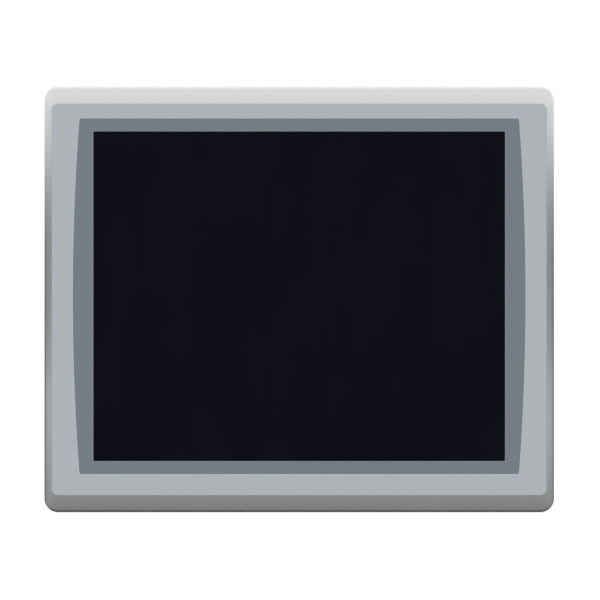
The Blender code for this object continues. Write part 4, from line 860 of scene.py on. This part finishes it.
def makeLevers():
    lever = {"hub": 6.0 * mm, "tip": 4.0 * mm, "panel": 3.2 * mm, "foot": 0.3 * mm, "top": 4.5 * mm,
             "round": 0.9 * mm, "chamfer": 0.25 * mm, "stem": 3.4 * mm, "inside": -1.7 * mm, "head": 5.5 * mm,
             "headBottom": -3.2 * mm, "headEdge": 0.2 * mm, "headRound": 0.3 * mm, "rootTop": 1.0 * mm,
             "gripStart": -0.5 * mm, "gripPast": 0.5 * mm, "gripHalf": 1.0 * mm, "steps": 28, "roundSteps": 6,
             "gripSides": ((1.0, -0.15), (0.62, 0.05), (0.3, 0.3), (0.1, 0.62), (0.0, 1.0), (-0.06, 1.9),
                           (-0.16, 2.25), (-0.36, 2.5), (-0.65, 2.65))}
    lever["reach"] = jointOf["lever_1_turn"]["pos_m"][1] - lever["panel"] - lever["tip"]
    gripEnd = lever["reach"] + lever["gripPast"]
    shape = bmesh.new()
    outlines = [(leverOutline(lever, lever["chamfer"]), lever["foot"]),
                (leverOutline(lever, 0.0), lever["foot"] + lever["chamfer"])]
    for step in range(lever["roundSteps"] + 1):
        angle = math.pi / 2 * step / lever["roundSteps"]
        outlines.append((leverOutline(lever, lever["round"] * (1 - math.cos(angle))),
                         lever["top"] - lever["round"] * (1 - math.sin(angle))))
    stacked(shape, outlines)
    stacked(shape, [(stadiumOutline(lever["gripStart"], gripEnd, lever["gripHalf"] + grow * mm, 16),
                     lever["top"] + rise * mm) for grow, rise in lever["gripSides"]])
    stem, head, edge, ease = lever["stem"], lever["head"], lever["headEdge"], lever["headRound"]
    inside, bottom = lever["inside"], lever["headBottom"]
    latheShape(shape, [(0.0, lever["rootTop"]), (stem, lever["rootTop"]), (stem, inside),
                       (head - edge, inside), (head, inside - edge),
                       (head, bottom + ease), (head - ease, bottom), (0.0, bottom)])
    bmesh.ops.recalc_face_normals(shape, faces=shape.faces)
    blank = evened(asObject("lever_blank", shape, greyPlastic))
    wallX, _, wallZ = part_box("display_housing")[1]
    tip = Vector((0.0, -1.0, 0.0))
    for i in range(1, 9):
        joint = jointOf[f"lever_{i}_turn"]
        out = Vector([round(value) for value in joint["axis"]])
        pivot = Vector(joint["pos_m"])
        pivot += out * ((wallX if out.x else wallZ) - pivot.dot(out))
        mesh = blank.data.copy()
        mesh.transform(Matrix.Translation(pivot) @ Matrix((tip, out.cross(tip), out)).transposed().to_4x4())
        fit(linked(f"clamp_lever_{i}", mesh), f"mounting_lever_{i}")
    bpy.data.objects.remove(blank, do_unlink=True)


makeScrews()
makeLevers()
print("fasteners and levers ready")


# ports, plug and card

def addContacts(name, shape, node):
    made = asObject(name, shape, gold)
    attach(made, frame["nodes"][node]["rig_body"])


def bentStrip(shape, x, width, thick, route):
    # a flat contact spring through (y, z) points
    loops = []
    for index, (y, z) in enumerate(route):
        ahead = Vector(route[min(index + 1, len(route) - 1)]) - Vector(route[max(index - 1, 0)])
        side = Vector((-ahead.y, ahead.x)).normalized() * thick / 2
        loops.append([shape.verts.new((x + sx * width / 2, y + s * side.x, z + s * side.y))
                      for sx, s in ((1, 1), (-1, 1), (-1, -1), (1, -1))])
    skinned(shape, loops, (0, -1))
    bmesh.ops.recalc_face_normals(shape, faces=shape.faces)
    return shape


def portShell(node, finish, lining, port):
    # a port whose inside takes another finish, from these distances (mm) in from its sides
    low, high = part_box(node)
    made = softened(node, finish, port["edge"])
    paintInside(made, lining, low + Vector(port["lowIn"]) * mm, high - Vector(port["highIn"]) * mm)
    return low, high, (low + high) / 2


def contactRow(shape, row, middleX, route):
    # contacts side by side, each along the route's (y, z) points
    for contact in range(row["contacts"]):
        x = middleX + row["pitch"] * (contact - (row["contacts"] - 1) / 2)
        bentStrip(shape, x, row["width"], row["thick"], route)


def makeEthernet():
    jack = {"edge": 0.12 * mm, "lowIn": (1.5, 0.8, 0.2), "highIn": (1.5, 1.5, 0.8), "wall": 2.4 * mm,
            "contacts": 8, "pitch": 1.02 * mm, "width": 0.46 * mm, "thick": 0.3 * mm,
            "spring": ((0.1, 1.6), (0.7, 2.4), (3.2, 9.0), (4.0, 13.0), (3.9, 15.5))}
    for i in (1, 2):
        node = f"ethernet_port_{i}"
        low, high, middle = portShell(node, stamped, blackPlastic, jack)
        roof = high.y - jack["wall"]
        route = [(roof - down * mm, low.z + up * mm) for down, up in jack["spring"]]
        shape = bmesh.new()
        contactRow(shape, jack, middle.x, route)
        addContacts(f"ethernet_contacts_{i}", shape, node)


def makeUsb():
    host = {"edge": 0.1 * mm, "lowIn": (0.9, 1.0, 0.5), "tongue": 0.2,
            "contacts": 4, "pitch": 2.0 * mm, "width": 1.0 * mm, "thick": 0.16 * mm,
            "spring": ((0.06, 2.0), (0.18, 2.6), (0.22, 6.0), (0.06, 9.0))}
    for i in (1, 2):
        node = f"usb_port_{i}"
        low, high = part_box(node)
        tongueIn = (high.y - low.y) / 2 / mm - host["tongue"]
        low, _, middle = portShell(node, stamped, blackPlastic, {**host, "highIn": (0.9, tongueIn, 2.5)})
        route = [(middle.y + out * mm, low.z + up * mm) for out, up in host["spring"]]
        shape = bmesh.new()
        contactRow(shape, host, middle.x, route)
        addContacts(f"usb_contacts_{i}", shape, node)

    device = {"edge": 0.12 * mm, "lowIn": (1.0, 1.0, 0.1), "highIn": (1.0, 1.0, 2.0),
              "contacts": 2, "pitch": 2.5 * mm, "width": 1.0 * mm, "thick": 0.16 * mm,
              "spring": ((1.88, 2.2), (1.95, 5.0), (1.88, 9.0))}
    node = "usb_device_port"
    low, _, middle = portShell(node, stamped, ivoryPlastic, device)
    shape = bmesh.new()
    for side in (1, -1):
        route = [(middle.y + side * out * mm, low.z + up * mm) for out, up in device["spring"]]
        contactRow(shape, device, middle.x, route)
    addContacts("usb_device_contacts", shape, node)


def makePower():
    header = {"edge": 0.15 * mm, "lowIn": (2.0, 2.0, 2.0), "highIn": (2.0, 2.0, 2.6), "plugEdge": 0.2 * mm}
    portShell("power_header", greenPlastic, bright, header)
    softened("power_plug", greenPlastic, header["plugEdge"], 3)
    look = {"head": 1.6 * mm, "height": 0.7 * mm, "recess": 1.6 * mm, "wide": 0.55 * mm, "deep": 0.45 * mm,
            "shank": 1.3 * mm, "pitch": 0.5 * mm, "depth": 0.2 * mm, "threaded": 2.6 * mm, "slot": True}
    for i in range(1, 4):
        driveIn(f"power_plug_screw_{i}", look, 12 * i - 20, "slotted")


makeEthernet()
makeUsb()
makePower()
softened("card_socket", stamped, 0.1 * mm)
softened("memory_card", bluePlastic, 0.2 * mm, 3)
print("ports ready")


# rating label

def ratingFoil():
    # blank foil with one printed line just inside its edge
    look = {"colour": (0.60, 0.61, 0.62), "rough": 0.36, "metal": 0.55, "line": 0.5 * mm, "inset": 2.6 * mm,
            "ink": (0.10, 0.10, 0.11, 1.0), "brushed": 0.5 * mm, "dent": 12 * mm, "dentDepth": 0.05 * mm}
    foil = Finish("silver label foil", look["colour"], look["rough"], look["metal"])
    low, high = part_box("rating_label")
    across, _, up = foil.axes()
    middle, half = (low + high) / 2, (high - low) / 2
    beyond = foil.outside(across - middle.x, up - middle.z, half.x, half.z)
    line = foil.between(foil.reach(beyond + look["inset"]), look["line"], look["line"] * 0.7)
    brushed = foil.grain(look["brushed"], 3.0, (0.04, 1.0, 1.0))
    foil.feed("Base Color", foil.tint(line * 0.75, foil.shade(brushed, 0.9, 1.08), look["ink"]))
    foil.feed("Metallic", look["metal"] - line * 0.5)
    foil.feed("Roughness", foil.between(brushed, 0.3, 0.7, look["rough"] - 0.04, look["rough"] + 0.06))
    foil.relief(foil.grain(look["dent"], 2.0), look["dentDepth"], 0.3)
    return foil


softened("rating_label", ratingFoil(), 0.08 * mm)


# inside the display

def dress(node, finish):
    # the CAD shape stays and takes a better finish
    mesh = frame["nodes"][node].data
    if not mesh.materials:
        mesh.materials.append(finish.material)
    for index in range(len(mesh.materials)):
        mesh.materials[index] = finish.material


def cellGlass():
    look = {"colour": (0.012, 0.012, 0.016), "rough": 0.12, "film": 30 * mm, "etch": 0.3 * mm,
            "etchDepth": 0.004 * mm}
    cell = Finish("display cell glass", look["colour"], look["rough"])
    film = cell.grain(look["film"], 3.0)
    cell.feed("Base Color", cell.shade(film, 0.8, 1.3))
    cell.feed("Roughness", cell.between(film, 0.3, 0.7, look["rough"] - 0.04, look["rough"] + 0.08))
    cell.relief(cell.grain(look["etch"], 1.0), look["etchDepth"], 0.3)
    return cell


def guideAcrylic():
    # clear sheet with rows of printed dots that throw its light forward
    look = {"colour": (0.80, 0.84, 0.87), "rough": 0.06, "clear": 0.6, "index": 1.49, "dot": 1.6 * mm,
            "dotColour": (0.95, 0.95, 0.94, 1.0), "dotRough": 0.6, "dotDepth": 0.02 * mm}
    guide = Finish("dotted clear acrylic", look["colour"], look["rough"])
    guide.fix("Transmission Weight", look["clear"])
    guide.fix("IOR", look["index"])
    dots = guide.between(guide.cells(look["dot"]), 0.32, 0.26)
    guide.feed("Base Color", guide.tint(dots, guide.colour, look["dotColour"]))
    guide.feed("Roughness", guide.between(dots, 0.0, 1.0, look["rough"], look["dotRough"]))
    guide.relief(dots, look["dotDepth"], 0.4)
    return guide


def ledBoard():
    # white board with a row of yellow emitters
    look = {"colour": (0.78, 0.78, 0.75), "rough": 0.5, "cloud": 4 * mm, "pitch": 8 * mm, "lampShare": 0.42,
            "phosphor": (0.80, 0.62, 0.16, 1.0), "lampRough": 0.25, "lampDepth": 0.1 * mm}
    wholePitches = 100.5
    strip = Finish("white lamp board", look["colour"], look["rough"])
    across, _, _ = strip.axes()
    along = strip.node("ShaderNodeMath", {"operation": "FRACT"}, {0: across / look["pitch"] + wholePitches})
    lamp = strip.between(strip.reach(along - 0.5), look["lampShare"] / 2, look["lampShare"] / 2 - 0.02)
    base = strip.shade(strip.grain(look["cloud"], 2.0), 0.92, 1.04)
    strip.feed("Base Color", strip.tint(lamp * 0.9, base, look["phosphor"]))
    strip.feed("Roughness", strip.between(lamp, 0.0, 1.0, look["rough"], look["lampRough"]))
    strip.relief(lamp, look["lampDepth"], 0.6)
    return strip


def flexFilm():
    # amber film over copper tracks that run its length
    look = {"colour": (0.40, 0.19, 0.035), "rough": 0.38, "cloud": 6 * mm, "pitch": 1.2 * mm,
            "copper": (0.42, 0.20, 0.07, 1.0), "copperRough": 0.28, "copperDepth": 0.02 * mm}
    film = Finish("amber flex film", look["colour"], look["rough"])
    across, _, _ = film.axes()
    track = film.between(film.wave(across * (2 * math.pi / look["pitch"])), -0.1, 0.2)
    base = film.shade(film.grain(look["cloud"]), 0.85, 1.15)
    film.feed("Base Color", film.tint(track * 0.8, base, look["copper"]))
    film.feed("Metallic", track * 0.4)
    film.feed("Roughness", film.between(track, 0.0, 1.0, look["rough"], look["copperRough"]))
    film.relief(track, look["copperDepth"], 0.5)
    return film


def makeBoards():
    # boards whose soldered parts each have their own finish: from and to along X, then along Z, in mm
    boards = {"edge": 0.08 * mm, "solder": 0.1 * mm, "past": 1.0 * mm,
              "outerFace": 37.9 * mm, "innerFace": 20.9 * mm,
              "main_board": ((ferrite, -56, -4, 64, 76), (ivoryPlastic, 42, 78, 71, 79)),
              "power_board": ((ferrite, -126, -94, -13, 13), (blackSheath, -132, -90, 38, 52),
                              (ivoryPlastic, -92, -76, 52, 68)),
              "touch_board": (), "backlight_board": ()}
    for node in ("main_board", "power_board", "touch_board", "backlight_board"):
        made = softened(node, greenBoard, boards["edge"])
        low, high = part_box(node)
        if node in ("main_board", "power_board"):
            near, far = boards["outerFace"] + boards["solder"], high.y
        else:
            near, far = low.y, boards["innerFace"] - boards["solder"]
        near, far = near - boards["edge"], far + boards["past"]
        paintInside(made, blackPlastic, (low.x, near, low.z), (high.x, far, high.z))
        for finish, left, right, bottom, top in boards[node]:
            paintInside(made, finish, (left * mm, near, bottom * mm), (right * mm, far, top * mm))


makeBoards()
softened("heat_sink", extruded, 0.12 * mm)
softened("battery_holder", blackPlastic, 0.2 * mm)
softened("battery_cell", bright, 0.25 * mm, 3)
for node, finish in (("touch_gasket", foam), ("lcd_frame", tray), ("lcd_cell", cellGlass()),
                     ("light_guide", guideAcrylic()), ("lcd_tray", tray), ("lcd_bracket_left", sheet),
                     ("lcd_bracket_right", sheet), ("touch_tail", flexFilm()), ("display_cable", blackSheath),
                     ("backlight_cable", blackSheath), ("power_lead", redSheath)):
    dress(node, finish)
lamps = ledBoard()
for end in ("top", "bottom"):
    dress(f"led_strip_{end}", lamps)
print("inside ready")


# studio

def makeStudio():
    # light by height: dark underneath, dim at eye level, bright above; dimmer still behind the camera
    studio = {"floorDrop": 120 * mm, "floorHalf": 2.6, "floorBack": 0.55, "brightest": 2.0,
              "heights": ((-1.0, 0.02), (-0.74, 0.05), (-0.60, 0.34), (-0.40, 0.455), (-0.20, 0.52),
                          (0.03, 0.45), (0.20, 1.25), (0.36, 1.38), (0.60, 1.40), (0.80, 1.45), (1.0, 1.70)),
              "spotStart": 0.965, "spotEnd": 0.990, "spot": 0.35}
    world = bpy.data.worlds.new("studio")
    bpy.context.scene.world = world
    world.use_nodes = True
    tree = world.node_tree
    tree.nodes.clear()

    def add(kind, settings, sockets):
        made = tree.nodes.new(kind)
        for key, value in settings.items():
            setattr(made, key, value)
        for key, value in sockets.items():
            if isinstance(value, bpy.types.NodeSocket):
                tree.links.new(value, made.inputs[key])
            else:
                made.inputs[key].default_value = value
        return made

    spot = add("ShaderNodeTexCoord", {}, {}).outputs["Generated"]
    split = add("ShaderNodeSeparateXYZ", {}, {0: spot})
    rise = add("ShaderNodeMapRange", {}, {"Value": split.outputs["Z"], "From Min": -1.0, "From Max": 1.0})
    ramp = add("ShaderNodeValToRGB", {}, {0: rise.outputs[0]})
    stops = ramp.color_ramp.elements
    for index, (height, light) in enumerate(studio["heights"]):
        stop = stops[index] if index < len(stops) else stops.new(1.0)
        stop.position = (height + 1) / 2
        stop.color = (*[light / studio["brightest"]] * 3, 1.0)
    ahead = add("ShaderNodeMath", {"operation": "MULTIPLY"}, {0: split.outputs["Y"], 1: -1.0})
    dim = add("ShaderNodeMapRange", {"interpolation_type": "SMOOTHSTEP"},
              {"Value": ahead.outputs[0], "From Min": studio["spotStart"], "From Max": studio["spotEnd"],
               "To Min": studio["brightest"], "To Max": studio["brightest"] * studio["spot"]})
    soft = add("ShaderNodeBackground", {}, {"Color": ramp.outputs["Color"], "Strength": dim.outputs[0]})
    white = add("ShaderNodeBackground", {}, {"Color": (1.0, 1.0, 1.0, 1.0), "Strength": 1.0})
    path = add("ShaderNodeLightPath", {}, {})
    mix = add("ShaderNodeMixShader", {}, {0: path.outputs["Is Camera Ray"], 1: soft.outputs[0],
                                          2: white.outputs[0]})
    add("ShaderNodeOutputWorld", {}, {0: mix.outputs[0]})

    shape = bmesh.new()
    bmesh.ops.create_grid(shape, x_segments=8, y_segments=8, size=studio["floorHalf"])
    paint = Finish("pale floor", (0.86, 0.86, 0.86), 0.6)
    paint.feed("Base Color", paint.shade(paint.grain(0.3, 3.0), 0.985, 1.015))
    floor = asObject("floor", shape, paint)
    floor.location = (0.0, studio["floorBack"] - studio["floorHalf"], cadBox[0].z - studio["floorDrop"])
    floor.visible_glossy = False


def makeSideCards():
    # a reflector at each side, bright at the top and fading down, seen only in the paint
    card = {"away": 0.42, "front": -0.32, "back": 0.24, "half": 0.30, "turn": -0.075, "turnRun": 0.06,
            "glow": 2.0,
            "ahead": ((-0.30, 0.38), (-0.179, 0.40), (-0.157, 0.62), (-0.135, 0.80), (-0.080, 0.78),
                      (-0.058, 0.50), (-0.035, 0.42), (0.009, 0.38), (0.053, 0.32), (0.075, 0.34),
                      (0.097, 0.44), (0.120, 0.65), (0.142, 0.88), (0.164, 1.14), (0.186, 1.34),
                      (0.30, 1.55)),
            "behind": ((-0.30, 0.0), (-0.179, 0.0), (0.009, 0.0), (0.053, 0.03), (0.097, 0.35), (0.142, 0.90),
                       (0.186, 1.50), (0.30, 1.9))}
    glow = Finish("side card", (0.0, 0.0, 0.0), 1.0)
    _, depth, up = glow.axes()
    place = glow.between(up, -card["half"], card["half"])
    tones = []
    for key in ("ahead", "behind"):
        stops = [((height + card["half"]) / (2 * card["half"]), light / card["glow"])
                 for height, light in card[key]]
        tones.append(glow.node("ShaderNodeValToRGB", {"stops": stops}, {0: place}))
    side = glow.between(depth, card["turn"], card["turn"] + card["turnRun"])
    glow.feed("Emission Color", glow.tint(side, *tones))
    glow.fix("Emission Strength", card["glow"])
    for side in (1, -1):
        shape = bmesh.new()
        corners = [shape.verts.new((side * card["away"], y, z))
                   for y, z in ((card["front"], -card["half"]), (card["back"], -card["half"]),
                                (card["back"], card["half"]), (card["front"], card["half"]))]
        shape.faces.new(corners)
        made = asObject(f"side_card_{'right' if side > 0 else 'left'}", shape, glow)
        for flag in ("visible_camera", "visible_diffuse", "visible_transmission", "visible_shadow"):
            setattr(made, flag, False)


def makeCamera():
    lens = {"focal": 300.0, "sensor": 36.0, "viewWidth": 553.4 * mm, "aimX": 0.74 * mm, "aimZ": -0.41 * mm,
            "planeY": -5.0 * mm}
    data = bpy.data.cameras.new("camera")
    data.lens = lens["focal"]
    data.sensor_width = lens["sensor"]
    distance = lens["viewWidth"] * lens["focal"] / lens["sensor"]
    data.clip_end = 100.0
    camera = linked("camera", data)
    camera.location = (lens["aimX"], lens["planeY"] - distance, lens["aimZ"])
    camera.rotation_euler = (math.pi / 2, 0.0, 0.0)
    bpy.context.scene.camera = camera


makeStudio()
makeSideCards()
makeCamera()
print("studio ready")
